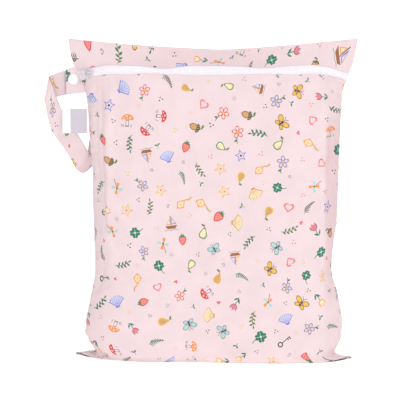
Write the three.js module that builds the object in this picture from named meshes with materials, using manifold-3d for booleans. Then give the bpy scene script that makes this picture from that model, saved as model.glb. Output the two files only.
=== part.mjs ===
// Cloth wet bag: a zipped, stuffed cloth pouch that stands on its flattened bottom, with a snap strap.
// Millimetres, +Z up, front towards -Y. The origin is on the floor, under the middle of the bag.
import * as THREE from 'three';
import { mergeVertices } from 'three/addons/utils/BufferGeometryUtils.js';
import Module from 'manifold-3d';

const wasm = await Module();
wasm.setup();

// Bag sizes
const TOP_WIDTH = 305;       // across the top edge
const HEIGHT = 332;          // floor to the middle of the top edge
const DEPTH = 70;            // front to back where it is fullest
const WALL = 1.2;            // doubled cloth
const GAP = 0.3;             // clearance between pieces that touch
const FOLD_RELIEF = 4;       // how far the deepest fold stands in or out

// Base sizes
const BASE_DEPTH = 64;       // front to back on the floor
const SEAM_SETBACK = 4;      // bottom seam behind the middle
const SEAM_SKEW = 11;        // each end of the bottom seam, back on the left and forward on the right

// Zip sizes
const ZIP_SETDOWN = 20;      // top edge to the zip, at the middle
const ZIP_OPENING = 8.8;     // between the two cloth edges
const TAPE_WIDTH = 22;
const TAPE_THICKNESS = 0.8;
const COIL_WIDTH = 5.2;
const COIL_HEIGHT = 1.5;
const TAPE_END_INSET = 2.5;  // tape ends short of the side seams
const ZIP_END_INSET = 6;     // coil ends short of them

// Slider and pull sizes
const SLIDER_LENGTH = 8.4;
const SLIDER_WIDTH = 8;
const SLIDER_PLATE = 1.2;
const SLIDER_LIFT = 0.6;     // slider clear of the coil
const SLIDER_INSET = 15;     // slider's middle from the side seam
const SLIDER_NOSE = 0.68;    // its narrow end, share of its width
const SLIDER_TAIL = 0.77;    // its wide end, where the coil leaves it, share of its width
const FLANGE_LENGTH = 0.5;   // share of its length
const FLANGE_SHIFT = 0.08;   // flange's middle towards the tail, share of its length
const BAIL_INNER = 1.8;
const BAIL_BAR = 1.1;
const BAIL_WIDTH = 1.4;
const PULL_LENGTH = 11.5;    // hinge axis to the free end
const PULL_WIDTH = 6.4;
const PULL_THICKNESS = 1.2;
const PULL_HOLE = 3.6;
const PULL_NECK = 0.62;      // its hinge end, share of its width
const PULL_LIFT = PULL_THICKNESS / 2 + 2 * GAP;   // hinge axis above the slider's plate

// Strap, tab and label sizes
const STRAP_WIDTH = 25.4;
const STRAP_THICKNESS = 1.8;
const STRAP_SETDOWN = 5;     // root's middle below the zip
const STRAP_REACH = 40;      // how far the loop stands out from the side seam
const STRAP_DROP = 100;      // how far it hangs below its root
const TAB_LENGTH = 14.5;
const TAB_SLOPE = 2.6;       // its end below its root
const LABEL_SIDE = 26;
const LABEL_THICKNESS = 0.8;
const LABEL_BOW = 0.8;       // how far its middle stands forward
const LABEL_STANDOFF = 0.5;  // behind it to the strap's inner edge
const LABEL_INSET = -0.6;    // its left edge from that station
const LABEL_RISE = 4;        // its top above that station

// Snap sizes
const SNAP_DIAMETER = 11.4;
const SNAP_CAP = 1.3;
const SNAP_SHANK = 3;
const SNAP_INSET = 6.8;      // snap's axis from the side seam
const SOCKET_DIAMETER = 9;
const STUD_DIAMETER = 6;
const SNAP_SPACE = 3.2;      // cloth to cloth at the snap

// Colours
const PINK = 0xf6e0e1;
const PINK_SHADE = 0xf0d8d9;
const WHITE = 0xf8f5f8;
const SILVER = 0xd6d0d6;

// Levels of the bag, from the top edge down to the fold round the base. Each is a line across the cloth.
//   mid, end: its height at the middle and at the side seams, shares of HEIGHT
//   left, right: half widths, shares of TOP_WIDTH / 2
//   front, back: how far the cloth stands out, shares of DEPTH / 2
//   square, blunt: how boxed the section is; late: how close to the seams the line leaves its middle height
//   floor: 0 above, 1 where the level belongs to the base
const LEVELS = [
  { mid: 1.000, end: 1.030, left: 1.000, right: 0.992, front: 0.00, back: 0.00, square: 3.0, blunt: 1.5, late: 1.7, floor: 0 },
  { mid: 0.974, end: 0.976, left: 0.978, right: 0.966, front: 0.21, back: 0.24, square: 3.0, blunt: 1.6, late: 2.5, floor: 0 },
  { mid: 0.940, end: 0.912, left: 0.922, right: 0.919, front: 0.50, back: 0.54, square: 3.0, blunt: 2.0, late: 8.0, floor: 0 },
  { mid: 0.892, end: 0.860, left: 0.876, right: 0.880, front: 0.72, back: 0.74, square: 3.6, blunt: 2.0, late: 6.0, floor: 0 },
  { mid: 0.826, end: 0.812, left: 0.861, right: 0.873, front: 0.86, back: 0.87, square: 4.6, blunt: 2.0, late: 4.0, floor: 0 },
  { mid: 0.720, end: 0.720, left: 0.850, right: 0.865, front: 0.94, back: 0.95, square: 5.0, blunt: 2.0, late: 2.0, floor: 0 },
  { mid: 0.590, end: 0.590, left: 0.830, right: 0.855, front: 0.98, back: 0.98, square: 5.0, blunt: 2.0, late: 2.0, floor: 0 },
  { mid: 0.462, end: 0.462, left: 0.825, right: 0.847, front: 1.00, back: 1.00, square: 5.0, blunt: 2.0, late: 2.0, floor: 0 },
  { mid: 0.375, end: 0.375, left: 0.818, right: 0.825, front: 1.00, back: 1.00, square: 4.8, blunt: 2.0, late: 2.0, floor: 0 },
  { mid: 0.285, end: 0.285, left: 0.815, right: 0.811, front: 0.98, back: 0.99, square: 4.6, blunt: 2.0, late: 2.0, floor: 0 },
  { mid: 0.195, end: 0.195, left: 0.847, right: 0.861, front: 0.93, back: 0.94, square: 4.4, blunt: 2.0, late: 2.0, floor: 0 },
  { mid: 0.105, end: 0.105, left: 0.880, right: 0.888, front: 0.89, back: 0.90, square: 4.4, blunt: 2.0, late: 2.0, floor: 0 },
  { mid: 0.058, end: 0.056, left: 0.864, right: 0.876, front: 0.90, back: 0.90, square: 4.6, blunt: 2.0, late: 4.0, floor: 0 },
  { mid: 0.026, end: 0.018, left: 0.812, right: 0.835, front: 0.93, back: 0.91, square: 5.0, blunt: 1.8, late: 6.0, floor: 0.3 },
  { mid: 0.010, end: 0.003, left: 0.880, right: 0.885, front: 0.93, back: 0.89, square: 5.6, blunt: 1.3, late: 6.0, floor: 0.8 },
  { mid: 0.000, end: 0.000, left: 0.940, right: 0.940, front: 0.90, back: 0.84, square: 6.0, blunt: 1.0, late: 6.0, floor: 1 },
];
const TIP_REACH = 0.964;     // the base corners' tips, share of TOP_WIDTH / 2

// Folds and dents of the standing cloth, in and out along its normal.
//   across: share of the half width, minus is left; up: share of HEIGHT
//   long, wide: half sizes, shares of HEIGHT; lean: degrees from upright; rise: share of FOLD_RELIEF
const FRONT_FOLDS = [
  { across: -0.77, up: 0.66, long: 0.200, wide: 0.014, lean: 1, rise: 0.55 },
  { across: -0.86, up: 0.62, long: 0.220, wide: 0.020, lean: 1, rise: -0.50 },
  { across: 0.90, up: 0.69, long: 0.050, wide: 0.016, lean: 24, rise: -0.75 },
  { across: 0.84, up: 0.30, long: 0.070, wide: 0.018, lean: -20, rise: -0.80 },
  { across: 0.74, up: 0.50, long: 0.240, wide: 0.018, lean: -2, rise: 0.40 },
  { across: -0.88, up: 0.27, long: 0.080, wide: 0.018, lean: 18, rise: -0.70 },
  { across: -0.16, up: 0.03, long: 0.030, wide: 0.100, lean: 0, rise: -0.60 },
  { across: 0.62, up: 0.03, long: 0.035, wide: 0.012, lean: -8, rise: -0.80 },
  { across: 0.10, up: 0.87, long: 0.035, wide: 0.150, lean: 0, rise: -0.35 },
];
const BACK_FOLDS = [
  { across: -0.80, up: 0.38, long: 0.130, wide: 0.016, lean: -1, rise: 0.50 },
  { across: 0.80, up: 0.56, long: 0.220, wide: 0.016, lean: 2, rise: 0.50 },
  { across: 0.88, up: 0.29, long: 0.070, wide: 0.018, lean: 18, rise: -0.70 },
  { across: -0.86, up: 0.30, long: 0.070, wide: 0.018, lean: -18, rise: -0.70 },
  { across: 0.20, up: 0.88, long: 0.030, wide: 0.140, lean: 0, rise: -0.35 },
];

// Strap stations, from the snapped end round the loop to where it slips behind the bag.
//   out: share of STRAP_REACH from the side seam; down: share of STRAP_DROP below the root
//   back: share of STRAP_WIDTH behind the seam; turn: degrees of the cross line from upright, clockwise
//   from the front; tip: degrees that the line's lower end leans back; tag: the label hangs from here
const STRAP_FRONT = [
  { out: 0.06, down: 0.005, back: 0.126, turn: -22, tip: 0 },
  { out: 0.25, down: 0.026, back: 0.126, turn: -8, tip: 0 },
  { out: 0.64, down: 0.070, back: 0.126, turn: 2, tip: 0 },
  { out: 0.79, down: 0.088, back: 0.094, turn: 9, tip: 0 },
  { out: 0.86, down: 0.100, back: -0.024, turn: 12, tip: 0 },
  { out: 0.83, down: 0.140, back: -0.130, turn: 13, tip: 2 },
  { out: 0.74, down: 0.285, back: -0.110, turn: 22, tip: 13 },
  { out: 0.60, down: 0.448, back: -0.060, turn: 31, tip: 20, tag: true },
  { out: 0.43, down: 0.560, back: 0.040, turn: 36, tip: 24 },
  { out: 0.25, down: 0.670, back: 0.170, turn: 40, tip: 27 },
  { out: 0.08, down: 0.790, back: 0.340, turn: 40, tip: 27 },
  { out: -0.07, down: 0.905, back: 0.580, turn: 38, tip: 22 },
  { out: -0.25, down: 0.955, back: 0.930, turn: 43, tip: 14 },
  { out: -0.39, down: 0.935, back: 1.240, turn: 50, tip: 10 },
];
// The hidden stretch lies on the back cloth, its cross lines level.
//   in: share of STRAP_REACH inside the side seam; down: as above; off: share of STRAP_WIDTH off the cloth
const STRAP_BACK = [
  { in: 0.50, down: 0.810, off: 0.18 },
  { in: 0.58, down: 0.570, off: 0.04 },
  { in: 0.60, down: 0.320, off: 0.00 },
  { in: 0.60, down: 0.110, off: 0.00 },
  { in: 0.60, down: -0.050, off: 0.00 },
];

const HALF_WIDTH = TOP_WIDTH / 2;
const HALF_DEPTH = DEPTH / 2;
const HALF_BASE = BASE_DEPTH / 2;
const RISE = HEIGHT - WALL;
const KEYS = ['mid', 'end', 'left', 'right', 'front', 'back', 'square', 'blunt', 'late', 'floor'];
const SECTION_STEPS = 90;
const ROW_STEP = 17;
const PROBE = 0.4;             // distance over which the cloth's slope is read, down it
const PROBE_SHARE = 0.004;     // and across it, as a share of u
const ARC_STEPS = 8;
const TURN_STEPS = 20;
const STRAP_STEPS = 64;
const TAB_STEPS = 12;
const SEAM_FADE = 12;          // folds die out over this share of u from a seam, one part in
const FLOOR_FADE = 4;          // and over this many cloth thicknesses from the floor

// Distance down the middle of the cloth to each level
const levelAt = [0];
for (let i = 1; i < LEVELS.length; i += 1) {
  const drop = (LEVELS[i - 1].mid - LEVELS[i].mid) * RISE;
  const swell = (LEVELS[i].front - LEVELS[i - 1].front) * HALF_DEPTH;
  levelAt.push(levelAt[i - 1] + Math.hypot(drop, swell));
}
const BASE_AT = levelAt[LEVELS.length - 1];
const END_AT = BASE_AT + HALF_BASE;
const ZIP_AT = levelAt[2] + ZIP_SETDOWN - (1 - LEVELS[2].mid) * HEIGHT;

// Smooth value between levels that never swings past them
function slopeAt(key, i) {
  if (i === 0 || i === LEVELS.length - 1) return 0;
  const before = (LEVELS[i][key] - LEVELS[i - 1][key]) / (levelAt[i] - levelAt[i - 1]);
  const after = (LEVELS[i + 1][key] - LEVELS[i][key]) / (levelAt[i + 1] - levelAt[i]);
  return before * after <= 0 ? 0 : (2 * before * after) / (before + after);
}

function between(key, at) {
  const place = Math.min(Math.max(at, 0), BASE_AT);
  let i = 0;
  while (i < LEVELS.length - 2 && place > levelAt[i + 1]) i += 1;
  const span = levelAt[i + 1] - levelAt[i];
  const t = (place - levelAt[i]) / span;
  const rest = 1 - t;
  const start = LEVELS[i][key] * (1 + 2 * t) + slopeAt(key, i) * span * t;
  const stop = LEVELS[i + 1][key] * (1 + 2 * rest) - slopeAt(key, i + 1) * span * rest;
  return start * rest * rest + stop * t * t;
}

function levelValues(at) {
  const value = Object.fromEntries(KEYS.map((key) => [key, between(key, at)]));
  const under = Math.min(Math.max((at - BASE_AT) / HALF_BASE, 0), 1);
  const reach = TIP_REACH - LEVELS[LEVELS.length - 1].left;
  value.left += reach * under;
  value.right += reach * under;
  value.front *= 1 - under;
  value.back *= 1 - under;
  return value;
}

// A point of the cloth's inner face on one level, x across; side is -1 in front and 1 behind
function pointOn(value, side, x) {
  const half = (x < 0 ? value.left : value.right) * HALF_WIDTH;
  const share = Math.min(Math.abs(x) / half, 1);
  const height = value.mid + (value.end - value.mid) * share ** value.late;
  const seam = value.floor * (SEAM_SETBACK - (SEAM_SKEW * x) / HALF_WIDTH);
  const stand = (side < 0 ? value.front : value.back) * HALF_DEPTH;
  const bulge = Math.max(1 - share ** value.square, 0) ** (1 / value.blunt);
  return new THREE.Vector3(x, seam + side * (GAP / 2 + stand * bulge), WALL + height * RISE);
}

// One half of a level as points evenly told by their distance along the cloth
function halfSection(value, side, hand) {
  const half = (hand < 0 ? value.left : value.right) * HALF_WIDTH;
  const points = [];
  const lengths = [0];
  for (let i = 0; i <= SECTION_STEPS; i += 1) {
    const share = Math.sin((Math.PI / 2) * (i / SECTION_STEPS));
    points.push(pointOn(value, side, hand * half * Math.min(share, 1 - 1e-9)));
    if (i > 0) lengths.push(lengths[i - 1] + points[i].distanceTo(points[i - 1]));
  }
  return { points, lengths };
}

function along({ points, lengths }, share) {
  const wanted = share * lengths[lengths.length - 1];
  let i = 0;
  while (i < lengths.length - 2 && wanted > lengths[i + 1]) i += 1;
  const t = (wanted - lengths[i]) / (lengths[i + 1] - lengths[i]);
  return points[i].clone().lerp(points[i + 1], t);
}

// A level's two halves; u runs from -1 at the left seam to 1 at the right one
function section(at, side) {
  const value = levelValues(at);
  const halves = [halfSection(value, side, -1), halfSection(value, side, 1)];
  return (u) => along(halves[u < 0 ? 0 : 1], Math.abs(u));
}

function foldAt(side, u, height) {
  const folds = side < 0 ? FRONT_FOLDS : BACK_FOLDS;
  let rise = 0;
  for (const fold of folds) {
    const lean = THREE.MathUtils.degToRad(fold.lean);
    const dx = ((u - fold.across) * HALF_WIDTH) / HEIGHT;
    const dz = (height - WALL) / RISE - fold.up;
    const acrossFold = dx * Math.cos(lean) - dz * Math.sin(lean);
    const alongFold = dx * Math.sin(lean) + dz * Math.cos(lean);
    const fade = Math.exp(-((acrossFold / fold.wide) ** 2) - (alongFold / fold.long) ** 2);
    rise += fold.rise * FOLD_RELIEF * fade;
  }
  const seamFade = Math.min((1 - Math.abs(u)) * SEAM_FADE, 1);
  const floorFade = Math.min(Math.max((height - WALL) / (FLOOR_FADE * WALL), 0), 1);
  return rise * seamFade * floorFade;
}

// Rows of points and outward normals over a stretch of the cloth
function clothGrid(side, stations, columns) {
  const grid = [];
  for (const at of stations) {
    const here = section(at, side);
    const above = section(Math.max(at - PROBE, 0), side);
    const below = section(Math.min(at + PROBE, END_AT), side);
    grid.push(columns.map((u) => {
      const point = here(u);
      const tangent = here(Math.min(u + PROBE_SHARE, 1)).sub(here(Math.max(u - PROBE_SHARE, -1)));
      const down = below(u).sub(above(u));
      const normal = tangent.cross(down).multiplyScalar(side).normalize();
      point.addScaledVector(normal, foldAt(side, u, point.z));
      return { point, normal };
    }));
  }
  return grid;
}

function geometryOf(positions, triangles) {
  const geometry = new THREE.BufferGeometry();
  geometry.setAttribute('position', new THREE.Float32BufferAttribute(positions, 3));
  geometry.setIndex(triangles);
  return geometry;
}

// A closed sheet between two offsets from the inner face of the cloth
function sheet(side, stations, columns, near, far) {
  const grid = clothGrid(side, stations, columns);
  const rows = stations.length;
  const count = columns.length;
  const positions = [];
  for (const offset of [far, near]) {
    for (const row of grid) {
      for (const { point, normal } of row) {
        const moved = point.clone().addScaledVector(normal, offset);
        positions.push(moved.x, moved.y, Math.max(moved.z, WALL - offset));
      }
    }
  }
  const index = (layer, i, j) => (layer * rows + i) * count + j;
  const triangles = [];
  const quad = (a, b, c, d) => (side < 0
    ? triangles.push(a, b, c, a, c, d)
    : triangles.push(a, c, b, a, d, c));
  for (let i = 0; i < rows - 1; i += 1) {
    for (let j = 0; j < count - 1; j += 1) {
      quad(index(0, i, j), index(0, i + 1, j), index(0, i + 1, j + 1), index(0, i, j + 1));
      quad(index(1, i, j), index(1, i, j + 1), index(1, i + 1, j + 1), index(1, i + 1, j));
    }
    quad(index(0, i, 0), index(1, i, 0), index(1, i + 1, 0), index(0, i + 1, 0));
    const last = count - 1;
    quad(index(0, i, last), index(0, i + 1, last), index(1, i + 1, last), index(1, i, last));
  }
  for (let j = 0; j < count - 1; j += 1) {
    quad(index(0, 0, j), index(0, 0, j + 1), index(1, 0, j + 1), index(1, 0, j));
    const last = rows - 1;
    quad(index(0, last, j), index(1, last, j), index(1, last, j + 1), index(0, last, j + 1));
  }
  return geometryOf(positions, triangles);
}

// Places down the cloth: every level that lies inside, and even steps between them
function stationsBetween(start, stop, longest) {
  const marks = [start, ...levelAt.filter((at) => at > start + 2 && at < stop - 2), stop];
  const stations = [start];
  for (let i = 1; i < marks.length; i += 1) {
    const steps = Math.ceil((marks[i] - marks[i - 1]) / longest);
    for (let k = 1; k <= steps; k += 1) stations.push(marks[i - 1] + ((marks[i] - marks[i - 1]) * k) / steps);
  }
  return stations;
}

// Columns that crowd towards the side seams; an odd number of gaps keeps the middle inside a facet
function columnsOf(gaps, reach) {
  const columns = [];
  for (let j = 0; j <= gaps; j += 1) {
    const t = (2 * j) / gaps - 1;
    columns.push(reach * (0.55 * t + 0.45 * Math.sin((Math.PI / 2) * t)));
  }
  return columns;
}

// A flat band through two matching edge lines
function band(edgeA, edgeB, steps, thickness) {
  const curveA = new THREE.CatmullRomCurve3(edgeA, false, 'centripetal');
  const curveB = new THREE.CatmullRomCurve3(edgeB, false, 'centripetal');
  const nudge = 1 / (8 * steps);
  const positions = [];
  for (let i = 0; i <= steps; i += 1) {
    const t = i / steps;
    const a = curveA.getPoint(t);
    const b = curveB.getPoint(t);
    const ahead = Math.min(t + nudge, 1);
    const behind = Math.max(t - nudge, 0);
    const heading = curveA.getPoint(ahead).add(curveB.getPoint(ahead));
    heading.sub(curveA.getPoint(behind)).sub(curveB.getPoint(behind));
    const normal = heading.cross(b.clone().sub(a)).normalize().multiplyScalar(thickness / 2);
    for (const corner of [a.clone().add(normal), b.clone().add(normal), b.clone().sub(normal), a.clone().sub(normal)]) {
      positions.push(corner.x, corner.y, corner.z);
    }
  }
  const triangles = [];
  const quad = (a, b, c, d) => triangles.push(a, c, b, a, d, c);
  for (let i = 0; i < steps; i += 1) {
    for (let k = 0; k < 4; k += 1) {
      const next = (k + 1) % 4;
      quad(4 * i + k, 4 * i + next, 4 * i + 4 + next, 4 * i + 4 + k);
    }
  }
  quad(3, 2, 1, 0);
  quad(4 * steps, 4 * steps + 1, 4 * steps + 2, 4 * steps + 3);
  return geometryOf(positions, triangles);
}

// Solids that are cut or joined
function solidOf(geometry) {
  const bare = geometry.clone();
  bare.deleteAttribute('normal');
  bare.deleteAttribute('uv');
  const merged = mergeVertices(bare, 1e-4);
  return new wasm.Manifold(new wasm.Mesh({
    numProp: 3,
    vertProperties: new Float32Array(merged.attributes.position.array),
    triVerts: new Uint32Array(merged.index.array),
  }));
}

function geometryFrom(solid) {
  const { vertProperties, triVerts } = solid.getMesh();
  return geometryOf(Array.from(vertProperties), Array.from(triVerts));
}

function turned(profile, segments) {
  return new THREE.LatheGeometry(profile.map(([r, y]) => new THREE.Vector2(r, y)), segments);
}

function mesh(name, geometry, color, roughness, metalness = 0) {
  const shown = new THREE.Mesh(geometry, new THREE.MeshStandardMaterial({ color, roughness, metalness }));
  shown.name = name;
  return shown;
}

const bag = new THREE.Group();

// Columns and rows shared by the pieces that lie on each other, so that their facets run parallel
const sideLength = halfSection(levelValues(ZIP_AT), -1, -1).lengths[SECTION_STEPS];
const shareIn = (inset) => 1 - inset / sideLength;
const TAPE_COLUMNS = columnsOf(23, shareIn(TAPE_END_INSET));
const COLUMNS = [-1, ...TAPE_COLUMNS, 1];
const coilReach = shareIn(ZIP_END_INSET);
const COIL_COLUMNS = [-coilReach, ...TAPE_COLUMNS.filter((u) => Math.abs(u) < coilReach - 0.005), coilReach];
const TAPE_HEAD = ZIP_AT - TAPE_WIDTH / 2;
const HEADER_FOOT = ZIP_AT - ZIP_OPENING / 2;
const PANEL_HEAD = ZIP_AT + ZIP_OPENING / 2;
const TAPE_FOOT = ZIP_AT + TAPE_WIDTH / 2;
const upperHem = stationsBetween(TAPE_HEAD, HEADER_FOOT, TAPE_WIDTH / 4);
const lowerHem = stationsBetween(PANEL_HEAD, TAPE_FOOT, TAPE_WIDTH / 4);

// Cloth of the bag
const headerStations = [...stationsBetween(0, TAPE_HEAD, ROW_STEP / 2), ...upperHem.slice(1)];
const frontStations = [...lowerHem, ...stationsBetween(TAPE_FOOT, END_AT, ROW_STEP).slice(1)];
const backStations = stationsBetween(0, END_AT, ROW_STEP);
bag.add(mesh('front_panel', sheet(-1, frontStations, COLUMNS, 0, WALL), PINK, 0.8));
bag.add(mesh('back_panel', sheet(1, backStations, COLUMNS, 0, WALL), PINK, 0.8));
bag.add(mesh('header_band', sheet(-1, headerStations, COLUMNS, 0, WALL), PINK_SHADE, 0.8));

// Zip
const tapeStations = [...upperHem, ...lowerHem];
const tape = sheet(-1, tapeStations, TAPE_COLUMNS, -GAP - TAPE_THICKNESS, -GAP);
bag.add(mesh('zipper_tape', tape, WHITE, 0.7));
const coilStations = [-0.5, -0.25, 0.25, 0.5].map((share) => ZIP_AT + share * COIL_WIDTH);
bag.add(mesh('zipper_coil', sheet(-1, coilStations, COIL_COLUMNS, 0, COIL_HEIGHT), WHITE, 0.45));

// Slider and pull, in the frame of the cloth where the slider stands: x along the zip to the left,
// y up across it, z out of the cloth
const sliderU = -shareIn(SLIDER_INSET);
const [[sliderSpot]] = clothGrid(-1, [ZIP_AT], [sliderU]);
const zipLine = section(ZIP_AT, -1);
const sliderReach = SLIDER_LENGTH / 2 / sideLength;
const sliderX = zipLine(sliderU - sliderReach).sub(zipLine(sliderU + sliderReach)).normalize();
const sliderZ = sliderSpot.normal.clone();
sliderZ.addScaledVector(sliderX, -sliderZ.dot(sliderX)).normalize();
const sliderY = sliderZ.clone().cross(sliderX);
const sliderFrame = new THREE.Group();
const sliderBasis = new THREE.Matrix4().makeBasis(sliderX, sliderY, sliderZ);
sliderFrame.quaternion.setFromRotationMatrix(sliderBasis);
sliderFrame.position.copy(sliderSpot.point).addScaledVector(sliderZ, COIL_HEIGHT + SLIDER_LIFT);

function sliderGeometry() {
  const outline = new THREE.Shape();
  const nose = (SLIDER_WIDTH * SLIDER_NOSE) / 2;
  const tail = (SLIDER_WIDTH * SLIDER_TAIL) / 2;
  outline.moveTo(-SLIDER_LENGTH / 2, -nose);
  outline.lineTo(SLIDER_LENGTH / 6, -SLIDER_WIDTH / 2);
  outline.lineTo(SLIDER_LENGTH / 2, -tail);
  outline.lineTo(SLIDER_LENGTH / 2, tail);
  outline.lineTo(SLIDER_LENGTH / 6, SLIDER_WIDTH / 2);
  outline.lineTo(-SLIDER_LENGTH / 2, nose);
  outline.closePath();
  let solid = solidOf(new THREE.ExtrudeGeometry(outline, { depth: SLIDER_PLATE, bevelEnabled: false }));
  const flangeWide = (SLIDER_WIDTH - COIL_WIDTH) / 2 - SLIDER_LIFT;
  const flangeTall = COIL_HEIGHT + SLIDER_PLATE / 2;
  for (const hand of [-1, 1]) {
    const flange = new THREE.BoxGeometry(SLIDER_LENGTH * FLANGE_LENGTH, flangeWide, flangeTall);
    flange.translate(
      SLIDER_LENGTH * FLANGE_SHIFT,
      hand * (COIL_WIDTH / 2 + SLIDER_LIFT + flangeWide / 2),
      (SLIDER_PLATE - flangeTall) / 2,
    );
    solid = solid.add(solidOf(flange));
  }
  const bailOuter = BAIL_INNER + BAIL_BAR;
  const arch = new THREE.Shape();
  arch.moveTo(bailOuter, -PULL_LIFT - SLIDER_PLATE / 2);
  arch.lineTo(bailOuter, 0);
  arch.absarc(0, 0, bailOuter, 0, Math.PI, false);
  arch.lineTo(-bailOuter, -PULL_LIFT - SLIDER_PLATE / 2);
  arch.lineTo(-BAIL_INNER, -PULL_LIFT - SLIDER_PLATE / 2);
  arch.lineTo(-BAIL_INNER, 0);
  arch.absarc(0, 0, BAIL_INNER, Math.PI, 0, true);
  arch.lineTo(BAIL_INNER, -PULL_LIFT - SLIDER_PLATE / 2);
  arch.closePath();
  const bail = new THREE.ExtrudeGeometry(arch, { depth: BAIL_WIDTH, bevelEnabled: false, curveSegments: ARC_STEPS });
  bail.translate(0, 0, -BAIL_WIDTH / 2);
  bail.rotateX(Math.PI / 2);
  bail.translate(0, 0, SLIDER_PLATE + PULL_LIFT);
  return geometryFrom(solid.add(solidOf(bail)));
}

function pullGeometry() {
  const half = PULL_WIDTH / 2;
  const bar = PULL_THICKNESS / 2;
  const outline = new THREE.Shape();
  outline.moveTo(-bar, -half * PULL_NECK);
  outline.lineTo(PULL_LENGTH - half, -half);
  outline.absarc(PULL_LENGTH - half, 0, half, -Math.PI / 2, Math.PI / 2, false);
  outline.lineTo(-bar, half * PULL_NECK);
  outline.closePath();
  const eyeEnd = BAIL_INNER + BAIL_BAR + 2 * GAP;
  const eyeHalf = BAIL_WIDTH / 2 + GAP;
  const eye = new THREE.Path();
  eye.moveTo(bar, -eyeHalf);
  eye.lineTo(bar, eyeHalf);
  eye.lineTo(eyeEnd, eyeHalf);
  eye.lineTo(eyeEnd, -eyeHalf);
  eye.closePath();
  outline.holes.push(eye);
  const hole = new THREE.Path();
  hole.absarc(PULL_LENGTH - half, 0, PULL_HOLE / 2, 0, Math.PI * 2, true);
  outline.holes.push(hole);
  const settings = { depth: PULL_THICKNESS, bevelEnabled: false, curveSegments: ARC_STEPS };
  const plate = new THREE.ExtrudeGeometry(outline, settings);
  return plate.translate(0, 0, -PULL_THICKNESS / 2);
}

sliderFrame.add(mesh('zip_slider', sliderGeometry(), SILVER, 0.35, 0.7));
const pull = mesh('zip_pull', pullGeometry(), SILVER, 0.35, 0.7);
pull.position.z = SLIDER_PLATE + PULL_LIFT;
sliderFrame.add(pull);
bag.add(sliderFrame);

// Where the strap and its tab leave the left side seam
function sidePoint(at) {
  const [[spot]] = clothGrid(-1, [at], [-1]);
  return new THREE.Vector3(spot.point.x - WALL - GAP, 0, spot.point.z);
}
const rootTop = sidePoint(ZIP_AT + STRAP_SETDOWN - STRAP_WIDTH / 2);
const rootFoot = sidePoint(ZIP_AT + STRAP_SETDOWN + STRAP_WIDTH / 2);
const root = rootTop.clone().lerp(rootFoot, 0.5);
const STRAP_PLANE = STRAP_FRONT[0].back * STRAP_WIDTH;
const TAB_PLANE = STRAP_PLANE - SNAP_SPACE - STRAP_THICKNESS;

function edgePair(station) {
  const centre = new THREE.Vector3(
    root.x - station.out * STRAP_REACH,
    station.back * STRAP_WIDTH,
    root.z - station.down * STRAP_DROP,
  );
  const turn = THREE.MathUtils.degToRad(station.turn);
  const tip = THREE.MathUtils.degToRad(station.tip);
  const line = new THREE.Vector3(-Math.sin(turn) * Math.cos(tip), Math.sin(tip), -Math.cos(turn) * Math.cos(tip));
  line.multiplyScalar(STRAP_WIDTH / 2);
  return [centre.clone().sub(line), centre.clone().add(line)];
}

// Height of the back cloth's outer face over a point of the x-z plane
function backFace(x, z) {
  let low = 0;
  let high = BASE_AT;
  for (let i = 0; i < 30; i += 1) {
    const trial = (low + high) / 2;
    if (pointOn(levelValues(trial), 1, x).z > z) low = trial;
    else high = trial;
  }
  return pointOn(levelValues(low), 1, x).y + WALL;
}

const edgeA = [];
const edgeB = [];
for (const station of STRAP_FRONT) {
  const [a, b] = edgePair(station);
  edgeA.push(a);
  edgeB.push(b);
}
for (const station of STRAP_BACK) {
  const middle = root.x + station.in * STRAP_REACH;
  const z = root.z - station.down * STRAP_DROP;
  const inner = middle + STRAP_WIDTH / 2;
  const outer = middle - STRAP_WIDTH / 2;
  const cloth = Math.max(backFace(inner, z), backFace(middle, z));
  const y = cloth + 2 * GAP + STRAP_THICKNESS / 2 + station.off * STRAP_WIDTH;
  edgeA.push(new THREE.Vector3(inner, y, z));
  edgeB.push(new THREE.Vector3(outer, y, z));
}

const snapAt = new THREE.Vector3(root.x - SNAP_INSET, 0, root.z);

function cut(geometry) {
  const drill = new THREE.CylinderGeometry(SNAP_SHANK / 2 + GAP, SNAP_SHANK / 2 + GAP, 3 * SNAP_SPACE, 14);
  drill.translate(snapAt.x, snapAt.y, snapAt.z);
  return geometryFrom(solidOf(geometry).subtract(solidOf(drill)));
}

bag.add(mesh('carry_strap', cut(band(edgeA, edgeB, STRAP_STEPS, STRAP_THICKNESS)), PINK, 0.8));

// The tab: slanted where it leaves the seam, square at its end
const tabShares = [0, 0.3, 0.65, 1];
const tabEdge = (corner) => tabShares.map((share) => new THREE.Vector3(
  THREE.MathUtils.lerp(corner.x, root.x - TAB_LENGTH, share),
  TAB_PLANE,
  corner.z - TAB_SLOPE * share,
));
bag.add(mesh('strap_tab', cut(band(tabEdge(rootTop), tabEdge(rootFoot), TAB_STEPS, STRAP_THICKNESS)), PINK, 0.8));

// Snap, on an axis square to the tab: the socket half holds the tab, the stud half the strap
function snapHalf(capDiameter, capFace, clothFace, innerDiameter, innerFace, innerEnd) {
  const facing = Math.sign(innerEnd - capFace);
  const profile = [
    [0, capFace],
    [capDiameter * 0.34, capFace],
    [capDiameter * 0.46, capFace + facing * SNAP_CAP * 0.3],
    [capDiameter / 2, capFace + facing * SNAP_CAP * 0.75],
    [capDiameter / 2, clothFace],
    [SNAP_SHANK / 2, clothFace],
    [SNAP_SHANK / 2, innerFace],
    [innerDiameter / 2, innerFace],
    [innerDiameter / 2, innerEnd],
    [0, innerEnd],
  ];
  if (facing < 0) profile.reverse();
  const geometry = turned(profile, TURN_STEPS);
  return geometry.translate(snapAt.x, 0, snapAt.z);
}

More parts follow.
